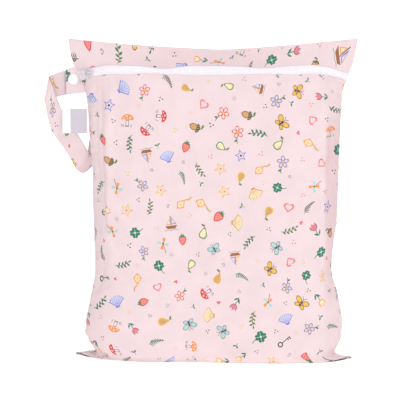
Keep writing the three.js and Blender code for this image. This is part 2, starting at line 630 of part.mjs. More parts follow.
const tabFront = TAB_PLANE - STRAP_THICKNESS / 2;
const tabRear = TAB_PLANE + STRAP_THICKNESS / 2;
const strapFront = STRAP_PLANE - STRAP_THICKNESS / 2;
const strapRear = STRAP_PLANE + STRAP_THICKNESS / 2;
const snapMeet = (tabRear + strapFront) / 2;
const capFront = tabFront - GAP - SNAP_CAP;
bag.add(mesh(
  'snap_socket',
  snapHalf(SNAP_DIAMETER, capFront, tabFront - GAP, SOCKET_DIAMETER, tabRear + GAP, snapMeet - GAP / 2),
  WHITE,
  0.3,
));
const capRear = strapRear + GAP + SNAP_CAP;
bag.add(mesh(
  'snap_stud',
  snapHalf(SNAP_DIAMETER, capRear, strapRear + GAP, STUD_DIAMETER, strapFront - GAP, snapMeet + GAP / 2),
  WHITE,
  0.3,
));

// Label: a small folded sheet that hangs square on the front of the loop
const labelStart = edgeA[STRAP_FRONT.findIndex((station) => station.tag)];
const labelFrame = new THREE.Group();
const label = new THREE.BoxGeometry(LABEL_SIDE, LABEL_THICKNESS, LABEL_SIDE, 4, 1, 4);
const labelSpots = label.attributes.position;
for (let i = 0; i < labelSpots.count; i += 1) {
  const across = labelSpots.getX(i) / LABEL_SIDE;
  labelSpots.setY(i, labelSpots.getY(i) + LABEL_BOW * (4 * across * across - 1));
}
labelFrame.position.set(
  labelStart.x + LABEL_SIDE / 2 + LABEL_INSET,
  labelStart.y - STRAP_THICKNESS / 2 - LABEL_THICKNESS / 2 - LABEL_STANDOFF,
  labelStart.z - LABEL_SIDE / 2 + LABEL_RISE,
);
labelFrame.add(mesh('strap_label', label, WHITE, 0.7));
bag.add(labelFrame);

export default bag;
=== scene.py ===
"""Cloth wet bag: printed cloth, zip, snap strap and bare label, on a plain white stage."""

import math
import random

import bpy
import numpy as np
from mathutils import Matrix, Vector
from mathutils.geometry import delaunay_2d_cdt


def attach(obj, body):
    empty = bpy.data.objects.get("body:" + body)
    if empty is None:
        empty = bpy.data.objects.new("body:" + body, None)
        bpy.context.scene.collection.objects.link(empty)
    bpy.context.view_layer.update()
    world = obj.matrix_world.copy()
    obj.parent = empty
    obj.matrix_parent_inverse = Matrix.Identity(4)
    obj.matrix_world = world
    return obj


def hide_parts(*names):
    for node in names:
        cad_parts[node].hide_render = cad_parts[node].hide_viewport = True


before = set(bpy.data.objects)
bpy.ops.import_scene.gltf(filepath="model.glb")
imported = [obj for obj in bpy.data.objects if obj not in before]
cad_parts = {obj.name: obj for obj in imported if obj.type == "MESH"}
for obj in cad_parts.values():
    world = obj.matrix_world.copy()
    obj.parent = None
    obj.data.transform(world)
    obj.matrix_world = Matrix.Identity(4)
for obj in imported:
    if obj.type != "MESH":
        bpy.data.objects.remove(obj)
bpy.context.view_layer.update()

MM = 0.001
ELEVATION = math.radians(10.0)

# Sizes of the bag, in millimetres
TOP_WIDTH = 305.0
HEIGHT = 332.0
DEPTH = 70.0
WALL = 1.2
GAP = 0.3
FOLD_RELIEF = 4.0
BASE_DEPTH = 64.0
SEAM_SETBACK = 4.0
SEAM_SKEW = 11.0
TIP_REACH = 0.964
ZIP_HEIGHT = 312.0
ZIP_OPENING = 8.8
TAPE_WIDTH = 22.0
TAPE_THICKNESS = 0.8
COIL_WIDTH = 5.2
COIL_HEIGHT = 1.5
TAPE_SHORT = 0.5
COIL_SHORT = 6.0

# Sizes of the strap, snap and label
STRAP_WIDTH = 25.4
STRAP_THICKNESS = 1.8
STRAP_SETDOWN = 5.0
STRAP_REACH = 40.0
STRAP_DROP = 100.0
TAB_LENGTH = 14.5
TAB_SLOPE = 2.6
SEAM_OVERLAP = 2.2
SNAP_DIAMETER = 11.4
SNAP_CAP = 1.3
SNAP_SHANK = 3.0
SNAP_INSET = 6.8
SOCKET_DIAMETER = 9.0
STUD_DIAMETER = 6.0
SNAP_SPACE = 3.2
LABEL_SIDE = 26.0
LABEL_THICKNESS = 0.8
LABEL_STANDOFF = 0.5
LABEL_INSET = -0.6
LABEL_RISE = 4.0
LABEL_STATION = 7

HALF_WIDTH = TOP_WIDTH / 2
HALF_DEPTH = DEPTH / 2
HALF_BASE = BASE_DEPTH / 2
RISE = HEIGHT - WALL

# Levels of the bag, from the top edge down to the fold round the base
KEYS = ("mid", "end", "left", "right", "front", "back", "square", "blunt", "late", "floor")
LEVELS = np.array([
    (1.000, 1.030, 1.000, 0.992, 0.00, 0.00, 3.0, 1.5, 1.7, 0.0),
    (0.974, 0.976, 0.978, 0.966, 0.21, 0.24, 3.0, 1.6, 2.5, 0.0),
    (0.940, 0.912, 0.922, 0.919, 0.50, 0.54, 3.0, 2.0, 8.0, 0.0),
    (0.892, 0.860, 0.876, 0.880, 0.72, 0.74, 3.6, 2.0, 6.0, 0.0),
    (0.826, 0.812, 0.861, 0.873, 0.86, 0.87, 4.6, 2.0, 4.0, 0.0),
    (0.720, 0.720, 0.850, 0.865, 0.94, 0.95, 5.0, 2.0, 2.0, 0.0),
    (0.590, 0.590, 0.830, 0.855, 0.98, 0.98, 5.0, 2.0, 2.0, 0.0),
    (0.462, 0.462, 0.825, 0.847, 1.00, 1.00, 5.0, 2.0, 2.0, 0.0),
    (0.375, 0.375, 0.818, 0.825, 1.00, 1.00, 4.8, 2.0, 2.0, 0.0),
    (0.285, 0.285, 0.815, 0.811, 0.98, 0.99, 4.6, 2.0, 2.0, 0.0),
    (0.195, 0.195, 0.847, 0.861, 0.93, 0.94, 4.4, 2.0, 2.0, 0.0),
    (0.105, 0.105, 0.880, 0.888, 0.89, 0.90, 4.4, 2.0, 2.0, 0.0),
    (0.058, 0.056, 0.864, 0.876, 0.90, 0.90, 4.6, 2.0, 4.0, 0.0),
    (0.026, 0.018, 0.812, 0.835, 0.93, 0.91, 5.0, 1.8, 6.0, 0.3),
    (0.010, 0.003, 0.880, 0.885, 0.93, 0.89, 5.6, 1.3, 6.0, 0.8),
    (0.000, 0.000, 0.940, 0.940, 0.90, 0.84, 6.0, 1.0, 6.0, 1.0),
])
LEVEL = dict(zip(KEYS, LEVELS.T))

# Folds and dents: across, up, long, wide, lean in degrees, rise
FRONT_FOLDS = (
    (-0.77, 0.66, 0.200, 0.014, 1, 0.55),
    (-0.86, 0.62, 0.220, 0.020, 1, -0.50),
    (0.90, 0.69, 0.050, 0.016, 24, -0.75),
    (0.84, 0.30, 0.070, 0.018, -20, -0.80),
    (0.74, 0.50, 0.240, 0.018, -2, 0.40),
    (-0.88, 0.27, 0.080, 0.018, 18, -0.70),
    (-0.16, 0.03, 0.030, 0.100, 0, -0.60),
    (0.62, 0.03, 0.035, 0.012, -8, -0.80),
    (0.10, 0.87, 0.035, 0.150, 0, -0.35),
)
# Upright creases that the side strips turn on, in millimetres: x and z of the middle, how far
# x moves over each millimetre of height, half length, half width, rise
SIDE_CREASES = (
    (-115.0, 218.0, -0.030, 70.0, 1.5, -1.30),
    (-111.5, 214.0, -0.030, 74.0, 3.0, 0.55),
    (-121.5, 240.0, -0.030, 48.0, 2.4, -0.90),
    (-125.5, 190.0, 0.010, 60.0, 2.6, -0.60),
    (114.0, 190.0, 0.010, 105.0, 3.2, 0.90),
    (121.5, 226.0, 0.020, 26.0, 4.0, -4.20),
    (120.0, 176.0, 0.020, 34.0, 3.2, -2.40),
    (119.5, 106.0, -0.010, 15.0, 3.8, -4.20),
    (124.0, 182.0, 0.010, 70.0, 2.2, -0.80),
    (128.0, 92.0, -0.080, 18.0, 2.4, -1.00),
)
# Crease where the body bulges over the left foot corner: x and height as seen from the front
FOOT_CREASE = ((-137.0, 26.0), (-133.7, 21.8), (-127.0, 14.4), (-118.3, 8.3), (-113.4, 4.3))
# Places where the front's bottom edge stands clear of the floor: x, half width, height
TOE_LIFTS = ((-26.0, 17.0, 2.6), (91.0, 8.0, 2.4), (-104.0, 9.0, 0.9))
# How far the cloth edges over and under the zip wander down the cloth: x, half width, drop
HEADER_WANDER = (
    (-54.0, 20.0, 4.2),
    (55.0, 22.0, 3.5),
    (142.0, 12.0, 2.4),
    (110.0, 16.0, -1.0),
    (-116.0, 12.0, -1.2),
)
PANEL_WANDER = ((0.0, 78.0, 2.6), (-98.0, 18.0, 1.4), (88.0, 20.0, 1.5), (-24.0, 12.0, 0.4))
# How far the header's top edge leans forward, and the dip in that edge: x, half width, drop
HEADER_LEAN = 6.5
TOP_DIP = (12.0, 36.0, 1.5)
BACK_FOLDS = (
    (-0.80, 0.38, 0.130, 0.016, -1, 0.50),
    (0.80, 0.56, 0.220, 0.016, 2, 0.50),
    (0.88, 0.29, 0.070, 0.018, 18, -0.70),
    (-0.86, 0.30, 0.070, 0.018, -18, -0.70),
    (0.20, 0.88, 0.030, 0.140, 0, -0.35),
)

# Strap stations: out, down, back, turn, tip; then the hidden stretch: in, down, off
STRAP_FRONT = (
    (0.06, 0.005, 0.126, -22, 0),
    (0.25, 0.026, 0.126, -8, 0),
    (0.64, 0.070, 0.126, 2, 0),
    (0.79, 0.088, 0.094, 9, 0),
    (0.86, 0.100, -0.024, 12, 0),
    (0.83, 0.140, -0.130, 13, 2),
    (0.74, 0.285, -0.110, 22, 13),
    (0.60, 0.448, -0.060, 31, 20),
    (0.43, 0.560, 0.040, 36, 24),
    (0.25, 0.670, 0.170, 40, 27),
    (0.08, 0.790, 0.340, 40, 27),
    (-0.07, 0.905, 0.580, 38, 22),
    (-0.25, 0.955, 0.930, 43, 14),
    (-0.39, 0.935, 1.240, 50, 10),
)
STRAP_BACK = (
    (0.50, 0.810, 0.18),
    (0.58, 0.570, 0.04),
    (0.60, 0.320, 0.00),
    (0.60, 0.110, 0.00),
    (0.60, -0.050, 0.00),
)

# Print and stitching, in millimetres
MOTIF_APART = 21.5
FILLER_APART = 14.5
MOTIF_SIZES = (1.25, 1.5)
FILLER_SIZES = (1.1, 1.35)
FINE_FROM = 106.0

CLOTH_STEP = 2.3
BACK_STEP = 2.5
STRAP_STEP = 1.9
TAB_STEP = 1.7
PRINT_SEEDS = {"front": 7, "header": 11, "back": 23, "strap": 5, "tab": 31}
HEM_TURN = 7.0
STITCH_INSET = 2.3
STITCH_PITCH = 3.0
STITCH_LENGTH = 2.1
THREAD = 0.42
BAG_STITCH_AT = WALL + 0.16
STRAP_STITCH_AT = STRAP_THICKNESS / 2 + 0.03
EDGE_ROLL = 1.25

# Inner and outer face of a cloth, measured from the surface that it is placed on
BAG_FACES = (0.3, WALL)
STRAP_FACES = (-STRAP_THICKNESS / 2, STRAP_THICKNESS / 2)

# Settling: every so many rows and columns of the cloth, depth of the filling, how near the cloth
# comes to it in metres, frames, the most that a point moves, blur passes, and the cloth's own values
SETTLE_ROWS = 4
SETTLE_COLUMNS = 5
SETTLE_DEPTH = 1.6
SETTLE_NEAR = 0.0006
SETTLE_FRAMES = 26
SETTLE_CAP = 3.2
SETTLE_BLUR = 3
SETTLE_GRIP = 8.0
SETTLE_CLOTH = {
    "quality": 6,
    "mass": 0.15,
    "tension_stiffness": 18,
    "compression_stiffness": 18,
    "shear_stiffness": 6,
    "bending_stiffness": 0.35,
    "shrink_min": -0.035,
}


# Shape of the cloth
run_down = np.hypot(np.diff(LEVEL["mid"]) * RISE, np.diff(LEVEL["front"]) * HALF_DEPTH)
LEVEL_AT = np.concatenate(([0.0], np.cumsum(run_down)))
BASE_AT = LEVEL_AT[-1]
END_AT = BASE_AT + HALF_BASE
ZIP_AT = LEVEL_AT[2] + (LEVEL["mid"][2] * HEIGHT - ZIP_HEIGHT)
HEADER_FOOT = ZIP_AT - ZIP_OPENING / 2
PANEL_HEAD = ZIP_AT + ZIP_OPENING / 2


def level_slopes(values):
    """Slopes at the levels that never swing a curve past its values."""
    rate = np.diff(values) / np.diff(LEVEL_AT)
    slopes = np.zeros(len(values))
    before, after = rate[:-1], rate[1:]
    same = before * after > 0
    slopes[1:-1][same] = 2 * before[same] * after[same] / (before[same] + after[same])
    return slopes


def between(key, at):
    """Smooth value between levels at distances down the cloth."""
    values = LEVEL[key]
    slopes = level_slopes(values)
    place = np.clip(at, 0, BASE_AT)
    i = np.searchsorted(LEVEL_AT[1:-1], place, side="left")
    span = LEVEL_AT[i + 1] - LEVEL_AT[i]
    t = (place - LEVEL_AT[i]) / span
    rest = 1 - t
    start = values[i] * (1 + 2 * t) + slopes[i] * span * t
    stop = values[i + 1] * (1 + 2 * rest) - slopes[i + 1] * span * rest
    return start * rest * rest + stop * t * t


def level_values(at):
    at = np.atleast_1d(np.asarray(at, float))
    value = {key: between(key, at) for key in KEYS}
    under = np.clip((at - BASE_AT) / HALF_BASE, 0, 1)
    reach = TIP_REACH - LEVEL["left"][-1]
    value["left"] = value["left"] + reach * under
    value["right"] = value["right"] + reach * under
    value["front"] = value["front"] * (1 - under)
    value["back"] = value["back"] * (1 - under)
    return value


def level_points(value, side, hand, share):
    """Points of the cloth's inner face; share runs from the middle to the seam."""
    rows = {key: column[:, None] for key, column in value.items()}
    half = (rows["left"] if hand < 0 else rows["right"]) * HALF_WIDTH
    x = hand * half * share
    height = rows["mid"] + (rows["end"] - rows["mid"]) * share ** rows["late"]
    seam = rows["floor"] * (SEAM_SETBACK - SEAM_SKEW * x / HALF_WIDTH)
    stand = (rows["front"] if side < 0 else rows["back"]) * HALF_DEPTH
    bulge = np.maximum(1 - share ** rows["square"], 0) ** (1 / rows["blunt"])
    y = seam + side * (GAP / 2 + stand * bulge)
    return np.stack([x, y, WALL + height * RISE + 0 * x], axis=-1)


def cloth_rows(side, ats, us):
    """Grid of points, rows down the cloth and columns from the left seam to the right one."""
    value = level_values(ats)
    steps = np.arange(91) / 90
    share = np.minimum(np.sin(np.pi / 2 * steps), 1 - 1e-9)
    grid = np.zeros((len(ats), len(us), 3))
    for hand in (-1, 1):
        points = level_points(value, side, hand, share[None, :])
        runs = np.linalg.norm(np.diff(points, axis=1), axis=2)
        lengths = np.concatenate([np.zeros((len(ats), 1)), np.cumsum(runs, axis=1)], axis=1)
        columns = np.where(us < 0 if hand < 0 else us >= 0)[0]
        for row in range(len(ats)):
            wanted = np.abs(us[columns]) * lengths[row, -1]
            for axis in range(3):
                grid[row, columns, axis] = np.interp(wanted, lengths[row], points[row, :, axis])
    return grid


def grid_normals(points, side):
    across = np.gradient(points, axis=1)
    down = np.gradient(points, axis=0)
    normal = np.cross(across, down) * side
    return normal / np.maximum(np.linalg.norm(normal, axis=2, keepdims=True), 1e-9)


def from_fold(u, z, at_u, at_z, lean):
    """How far points are off a leaning fold's line, and along it, as shares of the height."""
    dx = (u - at_u) * HALF_WIDTH / HEIGHT
    dz = (z - WALL) / RISE - at_z
    off = dx * math.cos(lean) - dz * math.sin(lean)
    on = dx * math.sin(lean) + dz * math.cos(lean)
    return off, on


def main_folds(side, u, z):
    """Rise of the main folds along the cloth's normal."""
    rise = np.zeros(np.broadcast(u, z).shape)
    for across, up, long, wide, lean, height in (FRONT_FOLDS if side < 0 else BACK_FOLDS):
        off, on = from_fold(u, z, across, up, math.radians(lean))
        rise += height * FOLD_RELIEF * np.exp(-((off / wide) ** 2) - (on / long) ** 2)
    return rise * np.minimum((1 - np.abs(u)) * 12, 1) * np.clip((z - WALL) / (4 * WALL), 0, 1)


def small_folds(side, u, v, z):
    """Rise of the seam puckers, soft waves and hem ripples."""
    rng = random.Random(20 + side)
    inset = (1 - np.abs(u)) * HALF_WIDTH
    hand = np.sign(u)
    wave = np.zeros(np.broadcast(u, v).shape)
    for length, height in ((7.5, 0.42), (12.0, 0.62), (21.0, 0.55)):
        shift = rng.uniform(0, 6.28)
        lag = rng.uniform(0.5, 2.5)
        swing = 1.3 * np.sin(v / (3.1 * length) + shift)
        wave += height * np.sin(2 * np.pi * (v + 0.45 * inset) / length + shift + lag * hand + swing)
    rise = wave * np.exp(-inset / 11.0) * np.minimum(inset / 2.5, 1)
    for _ in range(46):
        at_u = rng.uniform(-0.95, 0.95)
        at_z = rng.uniform(0.03, 0.9)
        lean = rng.gauss(0, 0.7)
        long = rng.uniform(0.05, 0.13)
        wide = rng.uniform(0.018, 0.05)
        height = rng.uniform(-0.55, 0.55)
        off, on = from_fold(u, z, at_u, at_z, lean)
        rise += height * np.exp(-((off / wide) ** 2) - (on / long) ** 2)
    low = np.clip((z - WALL) / (6 * WALL), 0, 1)
    return rise * np.minimum((1 - np.abs(u)) * 20, 1) * low


def side_creases(u, points):
    """Rise of the sharp upright creases of the front."""
    x, z = points[..., 0], points[..., 2]
    rise = np.zeros(x.shape)
    for at_x, at_z, slant, long, wide, height in SIDE_CREASES:
        off = (x - at_x - slant * (z - at_z)) / wide
        rise += height * np.exp(-(off ** 2) - ((z - at_z) / long) ** 4)
    return rise * np.minimum((1 - np.abs(u)) * 24, 1)


def foot_crease(u, points):
    """Rise of the fold over the left foot corner: a groove, with the body's cloth fuller above it."""
    x = points[..., 0]
    seen = points[..., 2] + points[..., 1] * math.tan(ELEVATION)
    off = np.full(x.shape, 1e9)
    above = np.zeros(x.shape)
    for (ax, az), (bx, bz) in zip(FOOT_CREASE, FOOT_CREASE[1:]):
        length = math.hypot(bx - ax, bz - az)
        ahead = ((bx - ax) / length, (bz - az) / length)
        along = np.clip((x - ax) * ahead[0] + (seen - az) * ahead[1], 0, length)
        gap = np.hypot(x - ax - ahead[0] * along, seen - az - ahead[1] * along)
        across = (x - ax) * -ahead[1] + (seen - az) * ahead[0]
        nearer = gap < off
        above = np.where(nearer, np.sign(across), above)
        off = np.where(nearer, gap, off)
    signed = off * above
    groove = -3.2 * np.exp(-((signed / 1.7) ** 2))
    fuller = 1.8 * np.exp(-(((signed - 4.5) / 3.5) ** 2))
    return (groove + fuller) * np.minimum((1 - np.abs(u)) * 50, 1)


def bumps(x, table):
    """Sum of smooth bumps along x: middle, half width, height."""
    return sum(height * np.exp(-(((x - middle) / half) ** 2)) for middle, half, height in table)


def hang(side, v, points):
    """Header leaning forward with a dipped top edge, and the front's bottom edge lifted in places."""
    x = points[..., 0]
    moved = points.copy()
    up = np.clip(1 - v / ZIP_AT, 0, 1) ** 1.3
    moved[..., 1] -= HEADER_LEAN * up * np.exp(-((x / 105) ** 6))
    moved[..., 2] -= bumps(x, [TOP_DIP]) * np.exp(-((v / 22) ** 2))
    if side < 0:
        moved[..., 2] += bumps(x, TOE_LIFTS) * np.exp(-(((v - BASE_AT) / 15) ** 2))
    return moved


CLOTH_AT = np.linspace(0, END_AT, 401)
CLOTH_U = np.linspace(-1, 1, 401)


class Cloth:
    """One side of the bag: the cloth's inner face as a grid over its flat width and length."""

    def __init__(self, side):
        self.side = side
        smooth = cloth_rows(side, CLOTH_AT, CLOTH_U)
        normal = grid_normals(smooth, side)
        u = CLOTH_U[None, :]
        v = CLOTH_AT[:, None]
        z = smooth[..., 2]
        rise = main_folds(side, u, z) + small_folds(side, u, v, z)
        if side < 0:
            rise += side_creases(u, smooth) + foot_crease(u, smooth)
        self.points = hang(side, v, smooth + normal * rise[..., None])
        self.lean = normal
        self.normals = grid_normals(self.points, side)

    def move(self, shift):
        """Adds the settled cloth's movement, and reads the facing again."""
        self.points = self.points + shift
        self.normals = grid_normals(self.points, self.side)

    def sample(self, grid, x, v):
        """Values of a grid at flat places x across and v down."""
        col = np.clip((x / HALF_WIDTH + 1) / 2 * (len(CLOTH_U) - 1), 0, len(CLOTH_U) - 1 - 1e-6)
        row = np.clip(v / END_AT * (len(CLOTH_AT) - 1), 0, len(CLOTH_AT) - 1 - 1e-6)
        j = col.astype(int)
        i = row.astype(int)
        s = (col - j)[:, None]
        t = (row - i)[:, None]
        top = grid[i, j] * (1 - s) + grid[i, j + 1] * s
        foot = grid[i + 1, j] * (1 - s) + grid[i + 1, j + 1] * s
        return top * (1 - t) + foot * t

    def place(self, flat):
        """Points, facing and shell directions of flat places."""
        x, v = flat[:, 0], flat[:, 1]
        if self.side < 0:
            share = np.clip((v - HEADER_FOOT) / ZIP_OPENING, 0, 1)
            wander = bumps(x, HEADER_WANDER) * (1 - share) + bumps(x, PANEL_WANDER) * share
            v = v + wander * np.exp(-(((v - ZIP_AT) / 17) ** 2))
        points = self.sample(self.points, x, v)
        facing = self.sample(self.normals, x, v)
        facing[:, 2] = np.maximum(facing[:, 2], -0.4)
        lean = self.sample(self.lean, x, v)
        facing /= np.linalg.norm(facing, axis=1, keepdims=True)
        lean /= np.linalg.norm(lean, axis=1, keepdims=True)
        return points, facing, lean


front = Cloth(-1)
back = Cloth(1)


# Settling of the cloth over what fills the bag
def coarse_grid(cloth, offset):
    """Every few rows and columns of the cloth, moved along its normal."""
    rows = np.arange(0, len(CLOTH_AT), SETTLE_ROWS)
    columns = np.arange(0, len(CLOTH_U), SETTLE_COLUMNS)
    pick = np.ix_(rows, columns)
    return cloth.points[pick] + cloth.lean[pick] * offset, rows, columns


def grid_faces(rows, columns, first, flip):
    """Quads of a grid whose points start at first."""
    faces = []
    for i in range(rows - 1):
        for j in range(columns - 1):
            a = first + i * columns + j
            face = [a, a + columns, a + columns + 1, a + 1]
            faces.append(face[::-1] if flip else face)
    return faces


def blurred(grid, passes):
    """The grid after some passes of a short blur along its rows and columns."""
    for _ in range(passes):
        for axis in (0, 1):
            place = np.arange(grid.shape[axis])
            before = np.take(grid, np.maximum(place - 1, 0), axis)
            after = np.take(grid, np.minimum(place + 1, len(place) - 1), axis)
            grid = (before + 2 * grid + after) / 4
    return grid


def held_places(cloth, rows, columns):
    """Which points the seams, the base and the zip hold in place."""
    at, across = np.meshgrid(CLOTH_AT[rows], CLOTH_U[columns], indexing="ij")
    head = PANEL_HEAD + 6 if cloth.side < 0 else ZIP_AT
    held = (np.abs(across) > 0.99) | (at > BASE_AT - 2) | (at < head)
    return np.where(held.ravel())[0]


def helper_object(name, points, faces):
    """A mesh that is only there while the cloth settles."""
    mesh = bpy.data.meshes.new(name)
    mesh.from_pydata((points * MM).tolist(), [], faces)
    helper = bpy.data.objects.new(name, mesh)
    bpy.context.scene.collection.objects.link(helper)
    return helper


def simulated(start, filling, faces, held):
    """How far each point of the loose cloth moves over the filling."""
    settling = helper_object("settling", start, faces)
    filled = helper_object("filling", filling, faces)
    settling.vertex_groups.new(name="held").add(held, 1.0, "REPLACE")
    filled.modifiers.new("solid", "COLLISION")
    filled.collision.thickness_outer = SETTLE_NEAR
    filled.collision.cloth_friction = SETTLE_GRIP
    sim = settling.modifiers.new("settle", "CLOTH")
    for name, value in SETTLE_CLOTH.items():
        setattr(sim.settings, name, value)
    sim.settings.vertex_group_mass = "held"
    sim.collision_settings.distance_min = SETTLE_NEAR
    sim.collision_settings.use_self_collision = False
    stage = bpy.context.scene
    stage.frame_start, stage.frame_end = 1, SETTLE_FRAMES
    sim.point_cache.frame_start, sim.point_cache.frame_end = 1, SETTLE_FRAMES
    for step in range(1, SETTLE_FRAMES + 1):
        stage.frame_set(step)
    settled = settling.evaluated_get(bpy.context.evaluated_depsgraph_get()).to_mesh()
    places = np.zeros(len(start) * 3)
    settled.vertices.foreach_get("co", places)
    shift = places.reshape(-1, 3) / MM - start
    stage.frame_set(1)
    meshes = [settling.data, filled.data]
    for helper in (settling, filled):
        bpy.data.objects.remove(helper)
    for mesh in meshes:
        bpy.data.meshes.remove(mesh)
    return shift


def on_full_grid(coarse):
    """A coarse grid's values at every point of the cloth's own grid."""
    down = np.arange(len(CLOTH_AT)) / SETTLE_ROWS
    over = np.arange(len(CLOTH_U)) / SETTLE_COLUMNS
    i = np.minimum(down.astype(int), coarse.shape[0] - 2)
    j = np.minimum(over.astype(int), coarse.shape[1] - 2)
    t, s = (down - i)[:, None, None], (over - j)[None, :, None]
    high = coarse[i][:, j] * (1 - s) + coarse[i][:, j + 1] * s
    low = coarse[i + 1][:, j] * (1 - s) + coarse[i + 1][:, j + 1] * s
    return high * (1 - t) + low * t


def settle():
    """Lets slightly loose cloth sag over the filling, and gives each side the capped movement."""
    start, filling, faces, held = [], [], [], []
    for cloth in (front, back):
        points, rows, columns = coarse_grid(cloth, WALL / 2)
        first = sum(len(part) for part in start)
        faces += grid_faces(len(rows), len(columns), first, cloth.side > 0)
        held += [int(first + k) for k in held_places(cloth, rows, columns)]
        start.append(points.reshape(-1, 3))
        filling.append(coarse_grid(cloth, -SETTLE_DEPTH)[0].reshape(-1, 3))
    shift = simulated(np.vstack(start), np.vstack(filling), faces, held)
    far = np.linalg.norm(shift, axis=1, keepdims=True)
    shift *= SETTLE_CAP * np.tanh(far / SETTLE_CAP) / np.maximum(far, 1e-9)
    for cloth, part in zip((front, back), np.split(shift, 2)):
        coarse = blurred(part.reshape(len(rows), len(columns), 3), 1)
        cloth.move(blurred(on_full_grid(coarse), SETTLE_BLUR))


settle()


# Shape of the strap
def root_point(at):
    value = level_values(at)
    return np.array([
        -value["left"][0] * HALF_WIDTH - WALL - GAP,
        0.0,
        WALL + value["end"][0] * RISE,
    ])


ROOT_TOP = root_point(ZIP_AT + STRAP_SETDOWN - STRAP_WIDTH / 2)
ROOT_FOOT = root_point(ZIP_AT + STRAP_SETDOWN + STRAP_WIDTH / 2)
ROOT = (ROOT_TOP + ROOT_FOOT) / 2
STRAP_PLANE = STRAP_FRONT[0][2] * STRAP_WIDTH
TAB_PLANE = STRAP_PLANE - SNAP_SPACE - STRAP_THICKNESS


def back_face(x, z):
    """Depth of the back cloth's outer face over a point of the x-z plane."""
    low, high = 0.0, BASE_AT
    hand = -1 if x < 0 else 1
    for _ in range(30):
        trial = (low + high) / 2
        value = level_values(trial)
        half = (value["left"] if hand < 0 else value["right"])[0] * HALF_WIDTH
        point = level_points(value, 1, hand, np.array([[min(abs(x) / half, 1 - 1e-9)]]))[0, 0]
        if point[2] > z:
            low = trial
        else:
            high = trial
    return point[1] + WALL


def strap_edges():
    edge_a, edge_b = [], []
    for out, down, behind, turn, tip in STRAP_FRONT:
        centre = np.array([ROOT[0] - out * STRAP_REACH, behind * STRAP_WIDTH, ROOT[2] - down * STRAP_DROP])
        turn, tip = math.radians(turn), math.radians(tip)
        line = np.array([-math.sin(turn) * math.cos(tip), math.sin(tip), -math.cos(turn) * math.cos(tip)])
        edge_a.append(centre - line * STRAP_WIDTH / 2)
        edge_b.append(centre + line * STRAP_WIDTH / 2)
    for inset, down, off in STRAP_BACK:
        middle = ROOT[0] + inset * STRAP_REACH
        z = ROOT[2] - down * STRAP_DROP
        inner, outer = middle + STRAP_WIDTH / 2, middle - STRAP_WIDTH / 2
        cloth = max(back_face(inner, z), back_face(middle, z))
        y = cloth + 2 * GAP + STRAP_THICKNESS / 2 + off * STRAP_WIDTH
        edge_a.append(np.array([inner, y, z]))
        edge_b.append(np.array([outer, y, z]))
    return np.array(edge_a), np.array(edge_b)


def smooth_curve(stations, count):
    """Centripetal curve through the stations, as count points."""
    ends = [2 * stations[0] - stations[1], *stations, 2 * stations[-1] - stations[-2]]
    points = np.array(ends)
    curve = []
    spans = len(stations) - 1
    for t in np.linspace(0, spans, count):
        i = min(int(t), spans - 1)
        w = t - i
        p0, p1, p2, p3 = points[i:i + 4]
        d0 = max(np.linalg.norm(p1 - p0) ** 0.5, 1e-4)
        d1 = max(np.linalg.norm(p2 - p1) ** 0.5, 1e-4)
        d2 = max(np.linalg.norm(p3 - p2) ** 0.5, 1e-4)
        start = ((p1 - p0) / d0 - (p2 - p0) / (d0 + d1) + (p2 - p1) / d1) * d1
        stop = ((p2 - p1) / d1 - (p3 - p1) / (d1 + d2) + (p3 - p2) / d2) * d1
        c2 = -3 * p1 + 3 * p2 - 2 * start - stop
        c3 = 2 * p1 - 2 * p2 + start + stop
        curve.append(p1 + start * w + c2 * w * w + c3 * w ** 3)
    return np.array(curve)


class Band:
    """A flat band between two edge lines, as a grid over its width and its run."""

    def __init__(self, edge_a, edge_b, count, ripples=()):
        a = smooth_curve(edge_a, count)
        b = smooth_curve(edge_b, count)
        middle = (a + b) / 2
        self.run = np.concatenate(([0.0], np.cumsum(np.linalg.norm(np.diff(middle, axis=0), axis=1))))
        self.length = self.run[-1]
        self.a, self.b = a, b
        heading = np.gradient(middle, axis=0)
        normal = np.cross(heading, b - a)
        self.normal = normal / np.linalg.norm(normal, axis=1, keepdims=True)
        self.ripples = ripples

    def at(self, values, run):
        return np.stack([np.interp(run, self.run, values[:, k]) for k in range(3)], axis=-1)

    def surface(self, x, run):
        across = (x / STRAP_WIDTH + 0.5)[:, None]
        normal = self.at(self.normal, run)
        normal /= np.linalg.norm(normal, axis=1, keepdims=True)
        points = self.at(self.a, run) * (1 - across) + self.at(self.b, run) * across
        rise = np.zeros(len(x))
        for where, side, long, wide, height in self.ripples:
            rise += height * np.exp(-(((run - where) / wide) ** 2) - ((x - side) / long) ** 2)
        return points + normal * rise[:, None], normal

    def place(self, flat):
        x, run = flat[:, 0], flat[:, 1]
        points, lean = self.surface(x, run)
        step = 0.4
        ahead, _ = self.surface(x, np.minimum(run + step, self.length))
        behind, _ = self.surface(x, np.maximum(run - step, 0))
        right, _ = self.surface(x + step, run)
        left, _ = self.surface(x - step, run)
        facing = np.cross(ahead - behind, right - left)
        facing /= np.maximum(np.linalg.norm(facing, axis=1, keepdims=True), 1e-9)
        return points, facing, lean


# Print: motifs as small flat shapes, each an ink and a closed outline
def spun(points, turn, x=0.0, y=0.0, size=1.0):
    c, s = math.cos(turn) * size, math.sin(turn) * size
    return [(x + c * px - s * py, y + s * px + c * py) for px, py in points]


def oval(x, y, rx, ry, turn=0.0, count=11):
    turns = [2 * math.pi * k / count for k in range(count)]
    return spun([(rx * math.cos(a), ry * math.sin(a)) for a in turns], turn, x, y)


def dome(x, y, rx, ry, count=9):
    turns = [math.pi * k / count for k in range(count + 1)]
    return [(x + rx * math.cos(a), y + ry * math.sin(a)) for a in turns]


